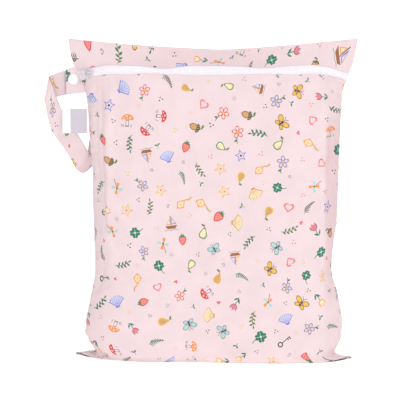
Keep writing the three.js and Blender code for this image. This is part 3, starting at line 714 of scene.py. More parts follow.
def leaf(x, y, length, width, turn, count=5):
    steps = range(count + 1)
    upper = [(length * k / count, width / 2 * math.sin(math.pi * (k / count) ** 0.85)) for k in steps]
    lower = [(px, -py) for px, py in reversed(upper[1:-1])]
    return spun(upper + lower, turn, x, y)


def shrunk(points, share):
    cx = sum(p[0] for p in points) / len(points)
    cy = sum(p[1] for p in points) / len(points)
    return [(cx + (x - cx) * share, cy + (y - cy) * share) for x, y in points]


def arc(start, stop, lift, count=6):
    """Points of a shallow arc; lift is how far its middle stands off the straight line."""
    (ax, ay), (bx, by) = start, stop
    run = math.hypot(bx - ax, by - ay)
    nx, ny = -(by - ay) / run, (bx - ax) / run
    shares = [k / count for k in range(count + 1)]
    return [
        (ax + (bx - ax) * t + nx * lift * 4 * t * (1 - t), ay + (by - ay) * t + ny * lift * 4 * t * (1 - t))
        for t in shares
    ]


def stroke(points, width=0.55):
    left, right = [], []
    last = len(points) - 1
    for k, (x, y) in enumerate(points):
        ax, ay = points[max(k - 1, 0)]
        bx, by = points[min(k + 1, last)]
        run = math.hypot(bx - ax, by - ay)
        nx, ny = -(by - ay) / run * width / 2, (bx - ax) / run * width / 2
        left.append((x + nx, y + ny))
        right.append((x - nx, y - ny))
    return left + right[::-1]


def outlined(line, fill, points, share):
    return [(line, points), (fill, shrunk(points, share))]


def blossom(line, fill, eye):
    marks = [("green", stroke(arc((0.2, -0.5), (1.4, -6.4), 0.7)))]
    marks.append(("green", leaf(1.0, -3.6, 3.2, 1.5, -0.4)))
    for k in range(5):
        turn = math.pi / 2 + 2 * math.pi * k / 5
        petal = oval(2.5 * math.cos(turn), 1.5 + 2.5 * math.sin(turn), 2.1, 1.45, turn)
        marks += outlined(line, fill, petal, 0.66)
    return marks + [(eye, oval(0, 1.5, 1.0, 1.0, count=8))]


def sprig(stem, leaves):
    spine = arc((-5.8, -1.8), (5.6, 1.6), 1.4, 8)
    marks = [(stem, stroke(spine, 0.5))]
    for k in range(1, 8):
        side = 1 if k % 2 else -1
        marks.append((leaves, leaf(*spine[k], 3.2, 1.5, 0.25 + side * 0.95)))
    return marks + [(leaves, leaf(*spine[8], 2.8, 1.3, 0.1))]


def acorn():
    marks = outlined("brown", "tan", oval(0, -1.6, 2.5, 3.4, count=13), 0.76)
    marks += [("brown", stroke([(0, -4.8), (0, -5.9)], 0.5)), ("olive", dome(0, 0.4, 3.3, 2.8))]
    for x in (-1.6, 0.1, 1.7):
        marks.append(("tan", stroke([(x - 0.4, 0.9), (x + 0.3, 2.3)], 0.34)))
    marks.append(("olive", stroke(arc((0, 3.0), (0.9, 5.0), -0.3), 0.6)))
    return marks + [("green", leaf(0.8, 4.4, 3.4, 1.6, 0.1))]


def toadstool(cap, stem):
    stalk = [(-1.0, 0.9), (-1.5, -4.6), (1.5, -4.6), (1.0, 0.9)]
    marks = outlined(stem, "blush", stalk, 0.62)
    marks.append((cap, dome(0, 0.4, 4.8, 4.1, 11)))
    for x, y, r in ((-2.1, 2.0, 0.75), (0.6, 2.9, 0.85), (2.8, 1.5, 0.6), (0.0, 1.1, 0.45)):
        marks.append(("cloth", oval(x, y, r, r * 0.85, count=8)))
    for x, lean in ((-3.0, -0.5), (2.6, 0.6), (3.4, 1.2)):
        marks.append(("green", stroke([(x, -4.8), (x + lean, -2.8)], 0.42)))
    return marks


def butterfly(line, fill):
    marks = []
    for side in (-1, 1):
        marks += outlined(line, fill, oval(side * 3.0, 1.8, 3.0, 2.1, side * 0.5, 12), 0.76)
        marks += outlined(line, fill, oval(side * 2.3, -2.0, 2.1, 1.6, -side * 0.5, 10), 0.7)
        marks.append(("dark", stroke(arc((0.1 * side, 3.0), (1.9 * side, 5.4), 0.3 * side), 0.32)))
    return marks + [("dark", leaf(0, -3.4, 6.8, 1.1, math.pi / 2))]


def star(line, dot):
    points = []
    for k in range(10):
        r = 5.2 if k % 2 == 0 else 2.3
        turn = math.pi / 2 + math.pi * k / 5
        points.append((r * math.cos(turn), r * math.sin(turn)))
    return outlined(line, "cloth", points, 0.7) + [(dot, oval(0, 0, 0.9, 0.9, count=8))]


def strawberry():
    body = [(0, -4.8), (1.5, -3.6), (2.8, -1.6), (3.4, 0.6), (2.8, 2.4), (1.2, 2.9), (0, 2.5)]
    body += [(-x, y) for x, y in reversed(body[1:-1])]
    marks = outlined("red", "rose", body, 0.8)
    for x, y in ((-1.5, 0.9), (0.1, 0.3), (1.6, 0.8), (-0.8, -1.3), (0.9, -1.4), (0, -3.0)):
        marks.append(("gold", oval(x, y, 0.3, 0.48, count=6)))
    for turn in (0.25, 1.0, 2.1, 2.9):
        marks.append(("green", leaf(0, 2.4, 2.9, 1.2, turn)))
    return marks + [("green", stroke([(0, 2.6), (0.4, 5.4)], 0.5))]


def tulip(line, fill):
    head = [(-2.6, 4.2), (-2.9, 1.4), (-1.7, -0.5), (0, -1.1), (1.7, -0.5), (2.9, 1.4), (2.6, 4.2)]
    head += [(1.3, 2.5), (0, 4.8), (-1.3, 2.5)]
    marks = [("teal", stroke(arc((0, -0.8), (0.5, -6.6), 0.4))), ("teal", leaf(0.3, -6.2, 4.8, 1.5, 1.0))]
    marks += [("teal", leaf(0.3, -6.2, 4.3, 1.4, 2.3))]
    return marks + outlined(line, fill, head, 0.72)


def shell(line, fill):
    rim = []
    for k in range(15):
        turn = math.radians(38 + 104 * k / 14)
        r = 8.0 + 0.4 * math.cos(math.pi * k)
        rim.append((r * math.cos(turn), r * math.sin(turn) - 4.4))
    marks = outlined(line, fill, [(0.9, -4.2)] + rim + [(-0.9, -4.2)], 0.86)
    for turn in (58, 74, 90, 106, 122):
        a = math.radians(turn)
        marks.append((line, stroke([(1.6 * math.cos(a), 1.6 * math.sin(a) - 4.2),
                                    (7.2 * math.cos(a), 7.2 * math.sin(a) - 4.4)], 0.34)))
    return marks + [(line, oval(0, -4.4, 1.9, 0.7, count=8))]


def clover(line, fill):
    marks = [(line, stroke(arc((0, 0), (2.6, -6.2), 0.8)))]
    for k in range(4):
        turn = math.pi / 4 + math.pi * k / 2
        for lean in (-0.38, 0.38):
            x, y = 2.5 * math.cos(turn + lean), 1 + 2.5 * math.sin(turn + lean)
            marks.append((line, oval(x, y, 1.9, 1.25, turn)))
        marks.append((fill, stroke([(0.6 * math.cos(turn), 1 + 0.6 * math.sin(turn)),
                                    (3.0 * math.cos(turn), 1 + 3.0 * math.sin(turn))], 0.36)))
    return marks


def kite(line, fill):
    marks = outlined(line, fill, [(0, 6.2), (3.6, 2.0), (0, -3.4), (-3.6, 2.0)], 0.76)
    marks += [(line, stroke([(0, 6.0), (0, -3.2)], 0.36)), (line, stroke([(-3.4, 2.0), (3.4, 2.0)], 0.36))]
    tail = arc((0, -3.4), (2.2, -8.2), 0.9)
    marks.append(("olive", stroke(tail, 0.38)))
    for k in (2, 4, 6):
        x, y = tail[k]
        bow = [(x - 1.1, y + 0.6), (x + 1.1, y - 0.6), (x + 1.0, y + 0.7), (x - 1.0, y - 0.7)]
        marks.append(("gold", bow))
    return marks


def sailboat():
    marks = [("brown", [(-4.8, -1.9), (4.8, -1.9), (3.2, -4.3), (-3.2, -4.3)])]
    marks.append(("dark", stroke([(0, -1.9), (0, 5.8)], 0.42)))
    marks += outlined("lavender", "cloth", [(-0.6, 5.2), (-0.6, -1.0), (-4.4, -1.0)], 0.66)
    marks += outlined("orange", "cream", [(0.6, 4.2), (0.6, -1.0), (3.8, -1.0)], 0.62)
    for x in (-5.4, 0):
        marks.append(("grey", stroke(arc((x, -5.6), (x + 5.4, -5.6), 0.5), 0.36)))
    return marks


def pear(line, fill):
    body = [(0, 3.4), (1.1, 3.0), (1.5, 1.6), (2.6, -0.2), (3.3, -2.2), (2.6, -4.2), (0.9, -5.0), (0, -4.8)]
    body += [(-x, y) for x, y in reversed(body[1:-1])]
    marks = outlined(line, fill, body, 0.78)
    marks.append(("brown", stroke(arc((0, 3.2), (0.8, 5.6), -0.3), 0.5)))
    marks.append(("green", leaf(0.5, 4.2, 3.2, 1.5, 0.3)))
    return marks + [(line, stroke(arc((-1.4, -3.2), (-1.5, -0.6), 0.4), 0.34))]


def pinwheel(first, second):
    marks = [("brown", stroke([(0, 0), (0.8, -7.6)], 0.5))]
    for k in range(4):
        turn = math.pi / 2 * k + 0.3
        marks.append((first if k % 2 else second, spun([(0, 0), (4.8, 0.2), (3.6, 2.8), (0.6, 1.0)], turn)))
    return marks + [("dark", oval(0, 0, 0.7, 0.7, count=7))]


def heart(line, fill, size=1.0):
    points = []
    for k in range(16):
        a = 2 * math.pi * k / 16 + 0.12
        x = 16 * math.sin(a) ** 3
        y = 13 * math.cos(a) - 5 * math.cos(2 * a) - 2 * math.cos(3 * a) - math.cos(4 * a)
        points.append((x * 0.25 * size, y * 0.25 * size))
    return outlined(line, fill, points, 0.66)


def key(ink):
    marks = outlined(ink, "cloth", oval(0, 3.8, 2.4, 2.2, count=12), 0.58)
    marks.append((ink, stroke([(0, 1.8), (0, -5.8)], 0.7)))
    marks.append((ink, [(0.2, -5.6), (2.2, -5.6), (2.2, -4.8), (0.2, -4.8)]))
    return marks + [(ink, [(0.2, -3.9), (1.7, -3.9), (1.7, -3.1), (0.2, -3.1)])]


def fern(ink):
    spine = arc((0, -6.2), (1.2, 6.2), -1.2, 9)
    marks = [(ink, stroke(spine, 0.45))]
    for k in range(1, 9):
        size = 3.6 - 0.33 * k
        for side in (-1, 1):
            marks.append((ink, leaf(*spine[k], size, 0.75, math.pi / 2 + side * 0.95)))
    return marks


def dots(ink):
    spots = ((0, 1.2), (1.5, -0.7), (-1.4, -0.9))
    return [(ink, oval(x, y, 0.62, 0.62, count=7)) for x, y in spots]


def twin_leaves(ink):
    leaves = [(ink, leaf(0, 0, 3.0, 1.4, turn)) for turn in (0.4, 2.5)]
    return leaves + [(ink, stroke([(0, 0), (0, -2.4)], 0.42))]


def spark(ink):
    marks = []
    for k in range(6):
        a = math.pi * k / 3
        ray = [(r * math.cos(a), r * math.sin(a)) for r in (0.6, 1.9)]
        marks.append((ink, stroke(ray, 0.36)))
    return marks


MOTIFS = (
    blossom("red", "blush", "gold"), sprig("brown", "green"), acorn(), toadstool("red", "mauve"),
    butterfly("grey", "mint"), star("gold", "orange"), strawberry(), tulip("mauve", "rose"),
    shell("lavender", "mist"), clover("teal", "mint"), kite("orange", "cream"), sailboat(),
    pear("green", "cream"), pinwheel("orange", "mint"), key("dark"), fern("olive"),
    blossom("mauve", "mist", "gold"), sprig("olive", "teal"), butterfly("brown", "gold"),
    heart("rose", "cloth"),
    tulip("orange", "cream"), shell("tan", "cream"), fern("teal"), star("lavender", "dark"),
    pear("gold", "tan"), toadstool("orange", "grey"),
)
FILLERS = (
    dots("dark"), dots("rose"), dots("gold"), twin_leaves("green"), twin_leaves("teal"), spark("gold"),
    spark("grey"), heart("red", "rose", 0.42), heart("mauve", "mist", 0.42), dots("olive"),
)


def scattered(low, high, rng, apart, taken=(), keep_off=0.0):
    """Uneven places over a rectangle, no two closer than apart."""
    places = []
    margin = apart / 2
    tries = int(60 * (high[0] - low[0] + apart) * (high[1] - low[1] + apart) / apart ** 2)
    for _ in range(tries):
        x = rng.uniform(low[0] - margin, high[0] + margin)
        y = rng.uniform(low[1] - margin, high[1] + margin)
        near = any((x - a) ** 2 + (y - b) ** 2 < apart ** 2 for a, b in places)
        if near or any((x - a) ** 2 + (y - b) ** 2 < keep_off ** 2 for a, b in taken):
            continue
        places.append((x, y))
    return places


def tossed(low, high, seed):
    """Motifs over a rectangle of flat cloth, turned every way: [(ink, outline), ...]."""
    rng = random.Random(seed)
    large = scattered(low, high, rng, MOTIF_APART)
    small = scattered(low, high, rng, MOTIF_APART, large, FILLER_APART)
    marks = []
    for places, choices, sizes in ((large, MOTIFS, MOTIF_SIZES), (small, FILLERS, FILLER_SIZES)):
        pool = []
        for x, y in places:
            if not pool:
                pool = rng.sample(range(len(choices)), len(choices))
            turn, size = rng.uniform(0, 2 * math.pi), rng.uniform(*sizes)
            for ink, points in choices[pool.pop()]:
                marks.append((ink, spun(points, turn, x, y, size)))
    return [
        (ink, points) for ink, points in marks
        if max(p[0] for p in points) > low[0] and min(p[0] for p in points) < high[0]
        and max(p[1] for p in points) > low[1] and min(p[1] for p in points) < high[1]
    ]


def inside_outline(places, outline):
    """Indices of the places that lie inside a closed outline."""
    low, high = outline.min(axis=0), outline.max(axis=0)
    near = np.where(np.all((places > low) & (places < high), axis=1))[0]
    x, y = places[near, 0], places[near, 1]
    odd = np.zeros(len(near), bool)
    for (ax, ay), (bx, by) in zip(outline, np.roll(outline, -1, axis=0)):
        if ay != by:
            crosses = (ay > y) != (by > y)
            odd ^= crosses & (x < (bx - ax) * (y - ay) / (by - ay) + ax)
    return near[odd]


def finer(values, wanted):
    """The values, with one more between each two where wanted."""
    middles = [(a + b) / 2 for a, b in zip(values, values[1:]) if b - a > 1]
    return sorted(values + [middle for middle in middles if wanted(middle)])


def printed_flat(low, high, step, marks):
    """Triangles over a rectangle of flat cloth and the ink of each."""
    wide, tall = high[0] - low[0], high[1] - low[1]
    columns = max(int(round(wide / step)), 2)
    rows = max(int(round(tall / step)), 2)
    rim = [0.0, 0.12, 0.4, 0.9]
    xs = sorted({*[low[0] + d for d in rim], *[high[0] - d for d in rim],
                 *[low[0] + wide * k / columns for k in range(1, columns)]})
    ys = sorted({*[low[1] + d for d in rim], *[high[1] - d for d in rim],
                 *[low[1] + tall * k / rows for k in range(1, rows)]})
    xs = finer(xs, lambda x: abs(x) > FINE_FROM)
    ys = finer(ys, lambda y: abs(y - BASE_AT) < 26)
    points, edges = [], []
    cells = set()
    for ink, outline in marks:
        first, count = len(points), len(outline)
        edges.extend((first + k, first + (k + 1) % count) for k in range(count))
        points.extend(outline)
        cells.update((round(x / 1.3), round(y / 1.3)) for x, y in outline)
    at = {}
    for j, y in enumerate(ys):
        for i, x in enumerate(xs):
            edge = i in (0, len(xs) - 1) or j in (0, len(ys) - 1)
            near = min(x - low[0], high[0] - x, y - low[1], high[1] - y) < 1.0
            if not near and (round(x / 1.3), round(y / 1.3)) in cells:
                continue
            if edge:
                at[i, j] = len(points)
            points.append((x, y))
    for i in range(len(xs) - 1):
        for j in (0, len(ys) - 1):
            edges.append((at[i, j], at[i + 1, j]))
    for j in range(len(ys) - 1):
        for i in (0, len(xs) - 1):
            edges.append((at[i, j], at[i, j + 1]))
    found = delaunay_2d_cdt([Vector(p) for p in points], edges, [], 0, 1e-4, False)
    flat = np.array([(p.x, p.y) for p in found[0]])
    triangles = np.array(found[2])
    middle = flat[triangles].mean(axis=1)
    inside = np.all((middle > np.array(low)) & (middle < np.array(high)), axis=1)
    a, b, c = (flat[triangles[:, k]] for k in range(3))
    area = np.abs(np.cross(b - a, c - a)) / 2
    keep = np.where(inside & (area > 1e-7))[0]
    middle = middle[keep]
    covered = np.array(["cloth"] * len(keep), dtype=object)
    for ink, outline in marks:
        covered[inside_outline(middle, np.array(outline))] = ink
    used, triangles = np.unique(triangles[keep], return_inverse=True)
    return flat[used], triangles.reshape(-1, 3), covered


# Materials
def linear(rgb):
    return tuple(((c / 255 + 0.055) / 1.055) ** 2.4 if c > 10 else c / 255 / 12.92 for c in rgb) + (1.0,)


INKS = {
    "cloth": (233, 213, 215), "red": (216, 66, 58), "rose": (234, 124, 130), "blush": (248, 214, 216),
    "green": (74, 128, 88), "teal": (48, 122, 98), "mint": (172, 212, 206), "olive": (86, 92, 62),
    "dark": (58, 54, 56), "brown": (158, 104, 62), "tan": (208, 162, 106), "gold": (232, 190, 84),
    "orange": (240, 152, 74), "cream": (248, 228, 184), "grey": (134, 142, 150), "lavender": (130, 134, 206),
    "mist": (206, 210, 236), "mauve": (158, 116, 138),
}
# Painted shade: tint multiplied into the cloth's colour as far as the mesh's shade attribute says
PAINTED_SHADE_TINT = (0.86, 0.76, 0.775, 1.0)


def add(tree, kind, **values):
    node = tree.nodes.new(kind)
    for name, value in values.items():
        if hasattr(node, name):
            setattr(node, name, value)
        else:
            node.inputs[name.replace("_", " ").title()].default_value = value
    return node


def base_material(name, rough, sheen=0.0, sheen_rough=0.5, metallic=0.0, coat=0.0):
    material = bpy.data.materials.new(name)
    material.use_nodes = True
    tree = material.node_tree
    shader = tree.nodes["Principled BSDF"]
    shader.inputs["Roughness"].default_value = rough
    shader.inputs["Metallic"].default_value = metallic
    shader.inputs["Sheen Weight"].default_value = sheen
    shader.inputs["Sheen Roughness"].default_value = sheen_rough
    shader.inputs["Coat Weight"].default_value = coat
    return material, tree, shader


def noise_of(tree, where, scale, detail):
    noise = add(tree, "ShaderNodeTexNoise")
    noise.inputs["Scale"].default_value = scale
    noise.inputs["Detail"].default_value = detail
    tree.links.new(where, noise.inputs["Vector"])
    return noise.outputs["Fac"]


def bump_of(tree, height, strength, distance):
    bump = add(tree, "ShaderNodeBump")
    bump.inputs["Strength"].default_value = strength
    bump.inputs["Distance"].default_value = distance
    tree.links.new(height, bump.inputs["Height"])
    return bump


def combined(tree, operation, first, second):
    """A math node's result; each value is a socket or a number."""
    node = add(tree, "ShaderNodeMath", operation=operation)
    for socket, value in zip(node.inputs, (first, second)):
        if isinstance(value, float):
            socket.default_value = value
        else:
            tree.links.new(value, socket)
    return node.outputs["Value"]


def vary_roughness(tree, shader, value, low, high):
    """Roughness that wanders from low to high."""
    gloss = add(tree, "ShaderNodeMapRange")
    gloss.inputs["To Min"].default_value = low
    gloss.inputs["To Max"].default_value = high
    tree.links.new(value, gloss.inputs["Value"])
    tree.links.new(gloss.outputs["Result"], shader.inputs["Roughness"])


def mottle(tree, shader, colour, spread, scale, where):
    """Base colour that wanders a little about one tone."""
    noise = noise_of(tree, where, scale, 4.0)
    ramp = add(tree, "ShaderNodeValToRGB")
    for stop, position, share in zip(ramp.color_ramp.elements, (0.3, 0.7), (1 - spread, 1 + spread)):
        stop.position = position
        stop.color = tuple(min(c * share, 1.0) for c in colour[:3]) + (1.0,)
    tree.links.new(noise, ramp.inputs["Fac"])
    tree.links.new(ramp.outputs["Color"], shader.inputs["Base Color"])
    return ramp


def weave(tree, where, threads):
    """Height of a plain weave: threads across and along, per metre of cloth."""
    waves = []
    for direction in ("X", "Y"):
        wave = add(tree, "ShaderNodeTexWave", wave_type="BANDS", bands_direction=direction)
        wave.inputs["Scale"].default_value = threads
        wave.inputs["Distortion"].default_value = 0.4
        wave.inputs["Detail"].default_value = 1.0
        tree.links.new(where, wave.inputs["Vector"])
        waves.append(wave.outputs["Fac"])
    return combined(tree, "MAXIMUM", *waves)


def cloth_material(name, rgb, threads=900.0, rough=0.72, sheen=0.22, depth=0.00006, spread=0.035):
    """Woven cloth or tape in one ink, with painted shade: darker and rosier where the mesh's shade attribute
    says so.
    """
    material, tree, shader = base_material(name, rough, sheen, 0.45)
    flat = add(tree, "ShaderNodeTexCoord").outputs["UV"]
    ramp = mottle(tree, shader, linear(rgb), spread, 38.0, flat)
    painted_shade = add(tree, "ShaderNodeAttribute", attribute_name="painted_shade")
    rose = add(tree, "ShaderNodeMix", data_type="RGBA", blend_type="MULTIPLY")
    rose.inputs["B"].default_value = PAINTED_SHADE_TINT
    tree.links.new(painted_shade.outputs["Fac"], rose.inputs["Factor"])
    tree.links.new(ramp.outputs["Color"], rose.inputs["A"])
    tree.links.new(rose.outputs["Result"], shader.inputs["Base Color"])
    over = weave(tree, flat, threads)
    crease = noise_of(tree, flat, 120.0, 5.0)
    broad = bump_of(tree, crease, 0.35, 0.0004)
    fine = bump_of(tree, over, 0.5, depth)
    tree.links.new(broad.outputs["Normal"], fine.inputs["Normal"])
    tree.links.new(fine.outputs["Normal"], shader.inputs["Normal"])
    vary_roughness(tree, shader, crease, rough - 0.06, rough + 0.06)
    return material


def hard_material(name, rgb, rough, metallic=0.0, coat=0.0):
    """Moulded plastic or enamelled metal with a faint surface and handling wear."""
    material, tree, shader = base_material(name, rough, metallic=metallic, coat=coat)
    place = add(tree, "ShaderNodeTexCoord").outputs["Object"]
    mottle(tree, shader, linear(rgb), 0.04, 260.0, place)
    skin = noise_of(tree, place, 900.0, 3.0)
    bump = bump_of(tree, skin, 0.3, 0.00003)
    tree.links.new(bump.outputs["Normal"], shader.inputs["Normal"])
    vary_roughness(tree, shader, skin, rough - 0.05, rough + 0.09)
    return material


PRINT = {ink: cloth_material(f"print_{ink}", rgb) for ink, rgb in INKS.items()}
LINING = cloth_material("lining", (242, 238, 238), rough=0.5, sheen=0.05)
THREADS = cloth_material("thread", (243, 226, 228), threads=2600.0, rough=0.6, sheen=0.3)
TAPE = cloth_material("zip_tape", (240, 235, 241), threads=1500.0, rough=0.7, sheen=0.25, depth=0.0001)
COIL = hard_material("zip_coil", (240, 235, 241), 0.38)
METAL = hard_material("slider_metal", (222, 214, 220), 0.36, metallic=0.15, coat=0.25)
SNAP = hard_material("snap_plastic", (246, 245, 246), 0.3, coat=0.3)
SATIN_LOOK = {"threads": 3000.0, "rough": 0.5, "depth": 0.00003}
# Darker copy of the label satin, for its part that lies back: painted shade
SATIN_SHADE = cloth_material("label_shade", (202, 196, 206), sheen=0.3, **SATIN_LOOK)
SATIN = cloth_material("label_satin", (244, 243, 246), sheen=0.35, **SATIN_LOOK)


# Meshes
def make_object(name, points, faces, materials, indices, flat=None, facing=None, smooth=True):
    """A mesh object; points in millimetres."""
    mesh = bpy.data.meshes.new(name)
    mesh.from_pydata((np.asarray(points) * MM).tolist(), [], [list(map(int, face)) for face in faces])
    for material in materials:
        mesh.materials.append(material)
    mesh.polygons.foreach_set("material_index", np.asarray(indices, np.int32))
    mesh.polygons.foreach_set("use_smooth", [smooth] * len(faces))
    if flat is not None:
        layer = mesh.uv_layers.new(name="flat")
        corner = np.zeros(len(mesh.loops), np.int32)
        mesh.loops.foreach_get("vertex_index", corner)
        layer.data.foreach_set("uv", (np.asarray(flat) * MM)[corner].ravel())
    mesh.update()
    if facing is not None:
        mesh.normals_split_custom_set_from_vertices(np.asarray(facing).tolist())
    obj = bpy.data.objects.new(name, mesh)
    bpy.context.scene.collection.objects.link(obj)
    return obj


def shell_object(name, box, step, seed, place, faces_at, lift=None, floor=False, lining=LINING, painted_shade=None):
    """A closed sheet: printed outside, lined or printed inside, with rounded edges."""
    low, high = box
    near, far = faces_at
    flat, triangles, inks = printed_flat(low, high, step, tossed(low, high, seed))
    points, facing, lean = place(flat)
    edge = np.minimum(flat - np.array(low), np.array(high) - flat).min(axis=1)
    half = (far - near) / 2
    turn = half - np.sqrt(np.maximum(half ** 2 - np.maximum(half - np.maximum(edge, 0), 0) ** 2, 0))
    raised = np.zeros(len(flat)) if lift is None else lift(flat)
    outer = points + lean * (far - turn + raised)[:, None]
    inner = points + lean * (near + turn)[:, None]
    if floor:
        outer[:, 2] = np.maximum(outer[:, 2], WALL - far + turn)
        inner[:, 2] = np.maximum(inner[:, 2], WALL - near - turn)
    a, b, c = (outer[triangles[:, k]] for k in range(3))
    if np.sum(np.cross(b - a, c - a) * lean[triangles[:, 0]]) < 0:
        triangles = triangles[:, ::-1]
    count = len(flat)
    seen = {}
    for tri in triangles.tolist():
        for p, q in ((tri[0], tri[1]), (tri[1], tri[2]), (tri[2], tri[0])):
            seen[p, q] = True
    rim = [(p, q) for p, q in seen if (q, p) not in seen]
    faces = triangles.tolist() + (triangles[:, ::-1] + count).tolist()
    names = sorted(set(inks) | {"cloth"})
    slots = {ink: k for k, ink in enumerate(names)}
    materials = [PRINT[ink] for ink in names]
    outside = [slots[ink] for ink in inks]
    if lining is None:
        inside = outside
    else:
        materials.append(lining)
        inside = [len(names)] * len(outside)
    faces += [[q, p, p + count, q + count] for p, q in rim]
    indices = outside + inside + [slots["cloth"]] * len(rim)
    normals = np.vstack([facing, -facing])
    both = np.vstack([outer, inner])
    obj = make_object(name, both, faces, materials, indices, np.vstack([flat, flat]), normals)
    # Painted shade: each outer point's share of the darker, rosier tint, stored as a mesh attribute
    if painted_shade is not None:
        layer = obj.data.attributes.new("painted_shade", "FLOAT", "POINT")
        layer.data.foreach_set("value", np.concatenate([painted_shade(points), np.zeros(count)]))
    return obj


def bead_row(name, spots, headings, normals, length, width, material):
    """A row of stitches, each a small rounded bead of thread along its heading."""
    points, faces = [], []
    rings, sides = 5, 6
    for spot, heading, normal in zip(spots, headings, normals):
        heading = heading / np.linalg.norm(heading)
        normal = normal - heading * np.dot(normal, heading)
        normal = normal / np.linalg.norm(normal)
        side = np.cross(heading, normal)
        base = len(points)
        for ring in range(rings):
            t = ring / (rings - 1) * 2 - 1
            fat = width / 2 * (1 - 0.55 * t * t)
            dip = -0.5 * width * t * t
            for k in range(sides):
                a = 2 * math.pi * k / sides
                offset = side * fat * math.cos(a) + normal * (fat * math.sin(a) + dip)
                points.append(spot + heading * length / 2 * t + offset)
        for ring in range(rings - 1):
            for k in range(sides):
                n = (k + 1) % sides
                p = base + ring * sides
                faces.append([p + k, p + sides + k, p + sides + n, p + n])
        faces.append([base + k for k in range(sides)])
        faces.append([base + (rings - 1) * sides + k for k in reversed(range(sides))])
    flat = np.array([(p[0], p[2]) for p in points])
    return make_object(name, points, faces, [material], [0] * len(faces), flat)


def stitched(name, place, path, offset, material=THREADS):
    """Stitches along a path of flat places."""
    path = np.asarray(path, float)
    runs = np.linalg.norm(np.diff(path, axis=0), axis=1)
    along = np.concatenate(([0.0], np.cumsum(runs)))
    marks = np.arange(STITCH_PITCH / 2, along[-1], STITCH_PITCH)
    flat = np.stack([np.interp(marks, along, path[:, k]) for k in range(2)], axis=-1)
    ahead = np.stack([np.interp(marks + 0.3, along, path[:, k]) for k in range(2)], axis=-1)
    points, facing, lean = place(flat)
    further, _, _ = place(ahead)
    spots = points + lean * offset
    headings = further - points
    keep = np.linalg.norm(headings, axis=1) > 1e-6
    return bead_row(name, spots[keep], headings[keep], facing[keep], STITCH_LENGTH, THREAD, material)


def lathed(name, profile, origin, axis, material, count=48):
    """A turned piece; profile holds radius and distance along the axis, from one end to the other."""
    axis = Vector(axis).normalized()
    side = axis.orthogonal().normalized()
    other = axis.cross(side)
    points, faces = [], []
    rings = []
    for radius, along in profile:
        centre = Vector(origin) + axis * along
        if radius < 1e-6:
            rings.append([len(points)])
            points.append(tuple(centre))
            continue
        ring = []
        for k in range(count):
            a = 2 * math.pi * k / count
            ring.append(len(points))
            points.append(tuple(centre + side * radius * math.cos(a) + other * radius * math.sin(a)))
        rings.append(ring)
    for first, second in zip(rings, rings[1:]):
        for k in range(count):
            n = (k + 1) % count
            if len(first) == 1:
                faces.append([first[0], second[n], second[k]])
            elif len(second) == 1:
                faces.append([first[k], first[n], second[0]])
            else:
                faces.append([first[k], first[n], second[n], second[k]])
    return make_object(name, points, faces, [material], [0] * len(faces), np.array(points)[:, [0, 2]])


def smooth_by_angle(obj, degrees):
    obj.data.shade_smooth()
    obj.data.set_sharp_from_angle(angle=math.radians(degrees))


# Bag cloth
def stitch_beat(along, off, height):
    """Rise and fall of the cloth from stitch to stitch, close to the stitch line."""
    near = np.exp(-(((off - STITCH_INSET) / 1.2) ** 2))
    return height * np.cos(2 * np.pi * along / STITCH_PITCH) * near


def hem_lift(hem_at):
    """Turned hem: a little thicker to the fold of the turning, with the stitch line drawn in."""
    def lift(flat):
        off = np.abs(flat[:, 1] - hem_at)
        turned = 0.34 / (1 + np.exp((off - HEM_TURN) / 0.5))
        groove = -0.32 * np.exp(-(((off - STITCH_INSET) / 0.55) ** 2))
        return turned + groove + stitch_beat(flat[:, 0], off, 0.07)
    return lift


def header_painted_shade(points):
    """Painted shade on the header: some all over, most along its middle."""
    return 0.12 + 0.30 * np.exp(-(((points[:, 0] + 8) / 72) ** 4))


def strip_painted_shade(points):
    """Painted shade on the side strips: most on the right strip about its middle height, faint on the left.
    """
    x, z = points[:, 0], points[:, 2]
    right = np.clip((x - 115) / 5, 0, 1) * (0.25 + 0.5 * np.exp(-(((z - 168) / 92) ** 6)))
    left = 0.08 * np.clip((-114 - x) / 4, 0, 1)
    return right + left


LEFT, RIGHT = -HALF_WIDTH, HALF_WIDTH
PANEL_BOX = ((LEFT, PANEL_HEAD), (RIGHT, END_AT))
HEADER_BOX = ((LEFT, 0.0), (RIGHT, HEADER_FOOT))
BACK_BOX = ((LEFT, 0.0), (RIGHT, END_AT))

front_cloth = shell_object(
    "front_cloth", PANEL_BOX, CLOTH_STEP, PRINT_SEEDS["front"], front.place, BAG_FACES,
    hem_lift(PANEL_HEAD), floor=True, painted_shade=strip_painted_shade,
)
header_cloth = shell_object(
    "header_cloth", HEADER_BOX, CLOTH_STEP, PRINT_SEEDS["header"], front.place, BAG_FACES,
    hem_lift(HEADER_FOOT), painted_shade=header_painted_shade,
)
back_cloth = shell_object(
    "back_cloth", BACK_BOX, BACK_STEP, PRINT_SEEDS["back"], back.place, BAG_FACES, floor=True,
)
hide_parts("front_panel")
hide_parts("header_band")
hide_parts("back_panel")


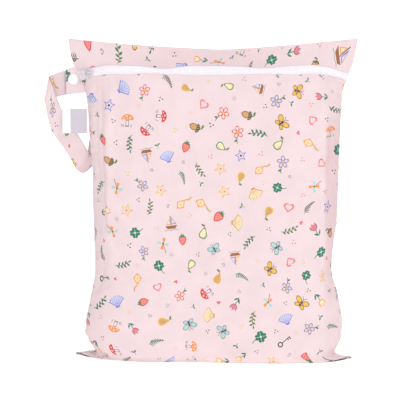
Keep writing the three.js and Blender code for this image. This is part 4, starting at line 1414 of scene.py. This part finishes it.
def rolled_edge(name, ends, count, inward):
    """The turned edge where front and back cloth are sewn together, as a slim roll along flat places."""
    flat = np.stack([np.linspace(ends[0][k], ends[1][k], count) for k in range(2)], axis=-1)
    fore, _, fore_lean = front.place(flat)
    rear, _, rear_lean = back.place(flat)
    fore = fore + fore_lean * WALL / 2
    rear = rear + rear_lean * WALL / 2
    middle = (fore + rear) / 2 + np.array(inward) * EDGE_ROLL * 0.75
    middle[:, 2] = np.maximum(middle[:, 2], EDGE_ROLL)
    heading = np.gradient(middle, axis=0)
    heading /= np.linalg.norm(heading, axis=1, keepdims=True)
    side = (rear - fore) - heading * np.sum((rear - fore) * heading, axis=1, keepdims=True)
    side /= np.linalg.norm(side, axis=1, keepdims=True)
    out = np.cross(heading, side)
    run = np.concatenate(([0.0], np.cumsum(np.linalg.norm(np.diff(middle, axis=0), axis=1))))
    swell = 1 + 0.07 * np.cos(2 * np.pi * run / STITCH_PITCH)
    sides = 12
    points, faces, places = [], [], []
    for k in range(count):
        for a in range(sides):
            turn = 2 * math.pi * a / sides
            offset = side[k] * math.cos(turn) + out[k] * math.sin(turn)
            points.append(middle[k] + offset * EDGE_ROLL * swell[k])
            places.append((a * 0.6, run[k]))
    for k in range(count - 1):
        for a in range(sides):
            n = (a + 1) % sides
            p = k * sides
            faces.append([p + a, p + n, p + sides + n, p + sides + a])
    faces.append([a for a in reversed(range(sides))])
    faces.append([(count - 1) * sides + a for a in range(sides)])
    return make_object(name, points, faces, [PRINT["cloth"]], [0] * len(faces), places)


edges = [
    rolled_edge("top_edge", ((LEFT, 0.0), (RIGHT, 0.0)), 420, (0, 0, -1)),
    rolled_edge("left_seam", ((LEFT, 0.0), (LEFT, BASE_AT + 4)), 540, (1, 0, 0)),
    rolled_edge("right_seam", ((RIGHT, 0.0), (RIGHT, BASE_AT + 4)), 540, (-1, 0, 0)),
]

HEM_REACH = HALF_WIDTH - 3.0


def hem_stitches(name, v):
    """Stitches along a hem of the front."""
    path = [(x, v) for x in np.linspace(-HEM_REACH, HEM_REACH, 200)]
    return stitched(name, front.place, path, BAG_STITCH_AT)


panel_stitches = hem_stitches("panel_stitches", PANEL_HEAD + STITCH_INSET)
header_stitches = hem_stitches("header_stitches", HEADER_FOOT - STITCH_INSET)


# Zip
def slab_faces(rows, columns):
    """Quads of a grid's outside, of its inside and of the rim between them."""
    count = rows * columns
    faces = []
    for i in range(rows - 1):
        for j in range(columns - 1):
            a = i * columns + j
            b, c, d = a + 1, a + columns + 1, a + columns
            faces.append([a, d, c, b])
            faces.append([a + count, b + count, c + count, d + count])
    ring = list(range(columns))
    ring += [i * columns + columns - 1 for i in range(1, rows)]
    ring += [(rows - 1) * columns + j for j in range(columns - 2, -1, -1)]
    ring += [i * columns for i in range(rows - 2, 0, -1)]
    for p, q in zip(ring, ring[1:] + ring[:1]):
        faces.append([p, q, q + count, p + count])
    return faces


def ribbed_strip(name, reach, width, columns, rows, height, near, far, material):
    """A closed strip along the zip, its outside shaped by height(x, v)."""
    xs = np.linspace(-reach, reach, columns)
    vs = np.linspace(ZIP_AT - width / 2, ZIP_AT + width / 2, rows)
    flat = np.array([(x, v) for v in vs for x in xs])
    points, facing, lean = front.place(flat)
    rise = height(flat[:, 0], flat[:, 1])
    outer = points + lean * (near + (far - near) * rise)[:, None]
    inner = points + lean * near
    faces = slab_faces(rows, columns)
    both = np.vstack([outer, inner])
    return make_object(name, both, faces, [material], [0] * len(faces), np.vstack([flat, flat]))


def tape_height(x, v):
    """Woven tape that lies under the hems and rises to the coil between them."""
    off = np.abs(v - ZIP_AT)
    rib = 0.05 * np.cos(2 * np.pi * off / 1.6)
    rise = 1 / (1 + np.exp((off - ZIP_OPENING / 2 - 0.35) / 0.1))
    return 0.78 + rib + (1.75 + 0.35 * np.sqrt(np.maximum(1 - (off / ZIP_OPENING * 2) ** 2, 0))) * rise


def coil_height(x, v):
    """Two rows of coil turns that mesh along the middle line."""
    off = (v - ZIP_AT) / (COIL_WIDTH / 2)
    hump = np.sqrt(np.maximum(1 - np.abs(off) ** 3.2, 0))
    turns = 0.5 + 0.5 * np.cos(2 * np.pi * (x / 1.35 + 0.25 * np.sign(off) + 0.18 * off))
    groove = 0.16 * np.exp(-((off / 0.12) ** 2))
    return np.clip(0.42 + hump * (0.42 + 0.12 * turns) - groove, 0.04, 1.0)


tape_reach = HALF_WIDTH - TAPE_SHORT
coil_reach = HALF_WIDTH - COIL_SHORT
zip_tape = ribbed_strip(
    "zip_tape", tape_reach, TAPE_WIDTH, 260, 89, tape_height, -GAP - TAPE_THICKNESS, -GAP, TAPE,
)
zip_coil = ribbed_strip(
    "zip_coil", coil_reach, COIL_WIDTH, 1301, 15, coil_height, 0.0, COIL_HEIGHT, COIL,
)
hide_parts("zipper_tape")
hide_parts("zipper_coil")


# Strap and tab
def band_lift(flat):
    """Rounded tube of cloth with a stitch line drawn in along both edges."""
    off = STRAP_WIDTH / 2 - np.abs(flat[:, 0])
    groove = -0.28 * np.exp(-(((off - STITCH_INSET) / 0.6) ** 2))
    puff = 0.12 * np.cos(np.pi * flat[:, 0] / STRAP_WIDTH)
    return groove + puff + stitch_beat(flat[:, 1], off, 0.05)


def band_cloth(name, band, step, seed):
    """Cloth tube along the whole of a band, printed on both faces."""
    box = ((-STRAP_WIDTH / 2, 0.0), (STRAP_WIDTH / 2, band.length))
    return shell_object(name, box, step, seed, band.place, STRAP_FACES, band_lift, lining=None)


# Ripples along the strap: run, across, long, wide, rise
STRAP_RIPPLES = (
    (14.0, 4.0, 9.0, 4.0, 0.35),
    (27.0, -3.0, 10.0, 2.6, -0.45),
    (42.0, 2.0, 12.0, 3.2, 0.40),
    (49.0, -4.0, 8.0, 2.4, -0.40),
    (72.0, 5.0, 9.0, 4.5, 0.45),
    (90.0, -2.0, 11.0, 4.0, -0.40),
    (110.0, 3.0, 10.0, 5.0, 0.40),
    (128.0, 0.0, 12.0, 4.0, -0.35),
)
edge_a, edge_b = strap_edges()
strap = Band(edge_a, edge_b, 900, STRAP_RIPPLES)
strap_cloth = band_cloth("strap_cloth", strap, STRAP_STEP, PRINT_SEEDS["strap"])
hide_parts("carry_strap")

TAB_SHARES = (0.0, 0.3, 0.65, 1.0)


def tab_edge(corner):
    """One edge line of the tab, from the side seam out."""
    start = corner[0] + SEAM_OVERLAP
    end = ROOT[0] - TAB_LENGTH
    return np.array([
        (start + (end - corner[0] - SEAM_OVERLAP) * share, TAB_PLANE, corner[2] - TAB_SLOPE * share)
        for share in TAB_SHARES
    ])


tab = Band(tab_edge(ROOT_TOP), tab_edge(ROOT_FOOT), 200)
tab_cloth = band_cloth("tab_cloth", tab, TAB_STEP, PRINT_SEEDS["tab"])
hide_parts("strap_tab")

edge_line = STRAP_WIDTH / 2 - STITCH_INSET
strap_stitches = []
for hand in (-1, 1):
    for face in (-1, 1):
        path = [(hand * edge_line, s) for s in np.linspace(1.5, strap.length - 1.5, 260)]
        label = f"strap_stitches_{'inner' if hand < 0 else 'outer'}_{'rear' if face < 0 else 'front'}"
        strap_stitches.append(stitched(label, strap.place, path, face * STRAP_STITCH_AT))
tab_path = [(-edge_line, s) for s in np.linspace(1.0, tab.length - STITCH_INSET, 20)]
tab_path += [(x, tab.length - STITCH_INSET) for x in np.linspace(-edge_line, edge_line, 20)[1:]]
tab_path += [(edge_line, s) for s in np.linspace(tab.length - STITCH_INSET, 1.0, 20)[1:]]
tab_stitches = [stitched("tab_stitches", tab.place, tab_path, -STRAP_STITCH_AT)]


# Snap
snap_x, snap_z = ROOT[0] - SNAP_INSET, ROOT[2]
tab_front = TAB_PLANE - STRAP_THICKNESS / 2
tab_rear = TAB_PLANE + STRAP_THICKNESS / 2
strap_front = STRAP_PLANE - STRAP_THICKNESS / 2
strap_rear = STRAP_PLANE + STRAP_THICKNESS / 2
snap_meet = (tab_rear + strap_front) / 2


def snap_profile(cap, cap_face, cloth_face, inner, inner_face, inner_end):
    """Domed cap with a shallow dish, its shank, and the half that snaps."""
    facing = math.copysign(1.0, inner_end - cap_face)
    dish = [(0.0, 0.28), (0.16, 0.22), (0.22, 0.04)]
    dome_rim = [(0.28, 0.0), (0.36, 0.06), (0.43, 0.26), (0.475, 0.56), (0.497, 0.9)]
    cap_line = [(cap * share, cap_face + facing * depth) for share, depth in dish + dome_rim]
    cap_line.append((cap * 0.5, cloth_face - facing * 0.12))
    skirt = [(cap * 0.485, cloth_face), (SNAP_SHANK / 2, cloth_face), (SNAP_SHANK / 2, inner_face)]
    half = [(inner / 2 - 0.2, inner_face), (inner / 2, inner_face + facing * 0.12)]
    half += [(inner / 2, inner_end - facing * 0.15), (inner / 2 - 0.2, inner_end), (0.0, inner_end)]
    return cap_line + skirt + half


socket_profile = snap_profile(
    SNAP_DIAMETER, tab_front - GAP - SNAP_CAP, tab_front - GAP,
    SOCKET_DIAMETER, tab_rear + GAP, snap_meet - GAP / 2,
)
stud_profile = snap_profile(
    SNAP_DIAMETER, strap_rear + GAP + SNAP_CAP, strap_rear + GAP,
    STUD_DIAMETER, strap_front - GAP, snap_meet + GAP / 2,
)
snap_socket = lathed("snap_cap_front", socket_profile, (snap_x, 0, snap_z), (0, 1, 0), SNAP)
snap_stud = lathed("snap_cap_rear", stud_profile, (snap_x, 0, snap_z), (0, 1, 0), SNAP)
for piece in (snap_socket, snap_stud):
    smooth_by_angle(piece, 50)
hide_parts("snap_socket")
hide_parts("snap_stud")


# Label: a folded tape, its left third standing clear and the rest lying back
def label_sheet():
    corner = edge_a[LABEL_STATION]
    left = corner[0] + LABEL_INSET
    middle = corner[1] - STRAP_THICKNESS / 2 - LABEL_THICKNESS / 2 - LABEL_STANDOFF
    top = corner[2] + LABEL_RISE
    columns, rows = 61, 41
    half = LABEL_THICKNESS / 2
    front_rows, rear_rows = [], []
    for i in range(rows):
        v = i / (rows - 1)
        for j in range(columns):
            u = j / (columns - 1)
            bow = 0.8 * (4 * (u - 0.5) ** 2 - 1)
            crease = 0.5 * math.exp(-(((u - 0.33) / 0.035) ** 2))
            wave = 0.25 * math.sin(5 * v + 2 * u) * u
            y = middle + bow - crease + wave * 0.6
            fat = half * (0.55 + 0.45 * math.sqrt(max(1 - (2 * u - 1) ** 8, 0)))
            x = left + u * LABEL_SIDE
            z = top - v * LABEL_SIDE + 0.35 * math.sin(2.2 * u) * (1 if v > 0.5 else -1) * (v - 0.5) * 2
            front_rows.append((x, y - fat, z))
            rear_rows.append((x, y + fat, z))
    points = front_rows + rear_rows
    faces = slab_faces(rows, columns)
    flat = np.array(points)[:, [0, 2]]
    middles = np.array([np.mean([points[k][0] for k in face]) for face in faces])
    # Faces past the left third take the darker satin copy: painted shade
    tones = (middles > left + LABEL_SIDE * 0.34).astype(int)
    return make_object("label_sheet", points, faces, [SATIN, SATIN_SHADE], tones, flat)


label_tag = label_sheet()
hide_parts("strap_label")


# Hard pieces of the zip, as modelled, with broken edges
for node in ("zip_slider", "zip_pull"):
    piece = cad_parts[node]
    piece.data.materials.clear()
    piece.data.materials.append(METAL)
    bevel = piece.modifiers.new("edges", "BEVEL")
    bevel.width = 0.00022
    bevel.segments = 3
    bevel.limit_method = "ANGLE"
    bevel.angle_limit = math.radians(32)

# Bodies: every piece goes on the bag's body
soft = [front_cloth, header_cloth, back_cloth, strap_cloth, tab_cloth, *edges]
threads = [panel_stitches, header_stitches, *strap_stitches, *tab_stitches]
for piece in soft + threads + [zip_tape, zip_coil, snap_socket, snap_stud, label_tag]:
    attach(piece, "bag")

# Stage
FLOOR_REACH = 12
FLOOR_TONE = (0.965, 0.965, 0.965, 1.0)
FLOOR_GLOW = 0.30
WHITE = (1.0, 1.0, 1.0, 1.0)
corners = [(FLOOR_REACH * x, FLOOR_REACH * y, 0) for x, y in ((-1, -1), (1, -1), (1, 1), (-1, 1))]
floor_mesh = bpy.data.meshes.new("floor")
floor_mesh.from_pydata(corners, [], [(0, 1, 2, 3)])
floor = bpy.data.objects.new("floor", floor_mesh)
bpy.context.scene.collection.objects.link(floor)
floor_material, floor_tree, floor_shader = base_material("floor_paint", 0.9)
floor_coords = add(floor_tree, "ShaderNodeTexCoord")
mottle(floor_tree, floor_shader, FLOOR_TONE, 0.004, 0.6, floor_coords.outputs["Object"])
floor_shader.inputs["Emission Color"].default_value = WHITE
floor_shader.inputs["Emission Strength"].default_value = FLOOR_GLOW
floor_mesh.materials.append(floor_material)

# Light: the sky is brightest in front and above, and rosier and darker behind and below
SKY_DARK = (0.32, 0.265, 0.27, 1.0)
SKY_BRIGHT = (0.56, 0.55, 0.56, 1.0)
SKY_UP = 0.7
SKY_FROM, SKY_TO = -0.6, 1.0

scene = bpy.context.scene
world = bpy.data.worlds.new("studio")
scene.world = world
world.use_nodes = True
sky = world.node_tree
backdrop = sky.nodes["Background"]
toward = add(sky, "ShaderNodeTexCoord")
parts = add(sky, "ShaderNodeSeparateXYZ")
sky.links.new(toward.outputs["Generated"], parts.inputs["Vector"])
raised = combined(sky, "MULTIPLY", parts.outputs["Z"], SKY_UP)
share = add(sky, "ShaderNodeMapRange")
share.inputs["From Min"].default_value = SKY_FROM
share.inputs["From Max"].default_value = SKY_TO
sky.links.new(combined(sky, "SUBTRACT", raised, parts.outputs["Y"]), share.inputs["Value"])
tone = add(sky, "ShaderNodeMix", data_type="RGBA")
tone.inputs["A"].default_value = SKY_DARK
tone.inputs["B"].default_value = SKY_BRIGHT
sky.links.new(share.outputs["Result"], tone.inputs["Factor"])
sky.links.new(tone.outputs["Result"], backdrop.inputs["Color"])
backdrop.inputs["Strength"].default_value = 1.0

# Suns: strength, angle, azimuth and elevation
KEY_SUN = (0.92, 26, 22, 40)
TOP_SUN = (0.68, 50, 6, 78)
REAR_SUN = (1.0, 50, 180, 32)


def sun(name, strength, angle, azimuth, elevation):
    data = bpy.data.lights.new(name, "SUN")
    data.energy = strength
    data.angle = math.radians(angle)
    lamp = bpy.data.objects.new(name, data)
    az, el = math.radians(azimuth), math.radians(elevation)
    toward = Vector((math.sin(az) * math.cos(el), -math.cos(az) * math.cos(el), math.sin(el)))
    lamp.rotation_euler = toward.to_track_quat("Z", "Y").to_euler()
    scene.collection.objects.link(lamp)
    return lamp


sun("key", *KEY_SUN)
sun("top", *TOP_SUN)
sun("rear", *REAR_SUN)
scene.view_settings.view_transform = "Standard"

# Camera, at the photograph's angle
FRAME_WIDTH = 0.4264
DISTANCE = 4.0
SENSOR = 36.0
TARGET_ACROSS = -0.0144
TARGET_UP = 0.1675
camera_data = bpy.data.cameras.new("camera")
camera = bpy.data.objects.new("camera", camera_data)
scene.collection.objects.link(camera)
camera_data.sensor_width = SENSOR
camera_data.lens = SENSOR * DISTANCE / FRAME_WIDTH
up = Vector((0, math.sin(ELEVATION), math.cos(ELEVATION)))
ahead = Vector((0, math.cos(ELEVATION), -math.sin(ELEVATION)))
target = Vector((TARGET_ACROSS, 0, 0)) + up * TARGET_UP
camera.location = target - ahead * DISTANCE
camera.rotation_euler = (-ahead).to_track_quat("Z", "Y").to_euler()
scene.camera = camera
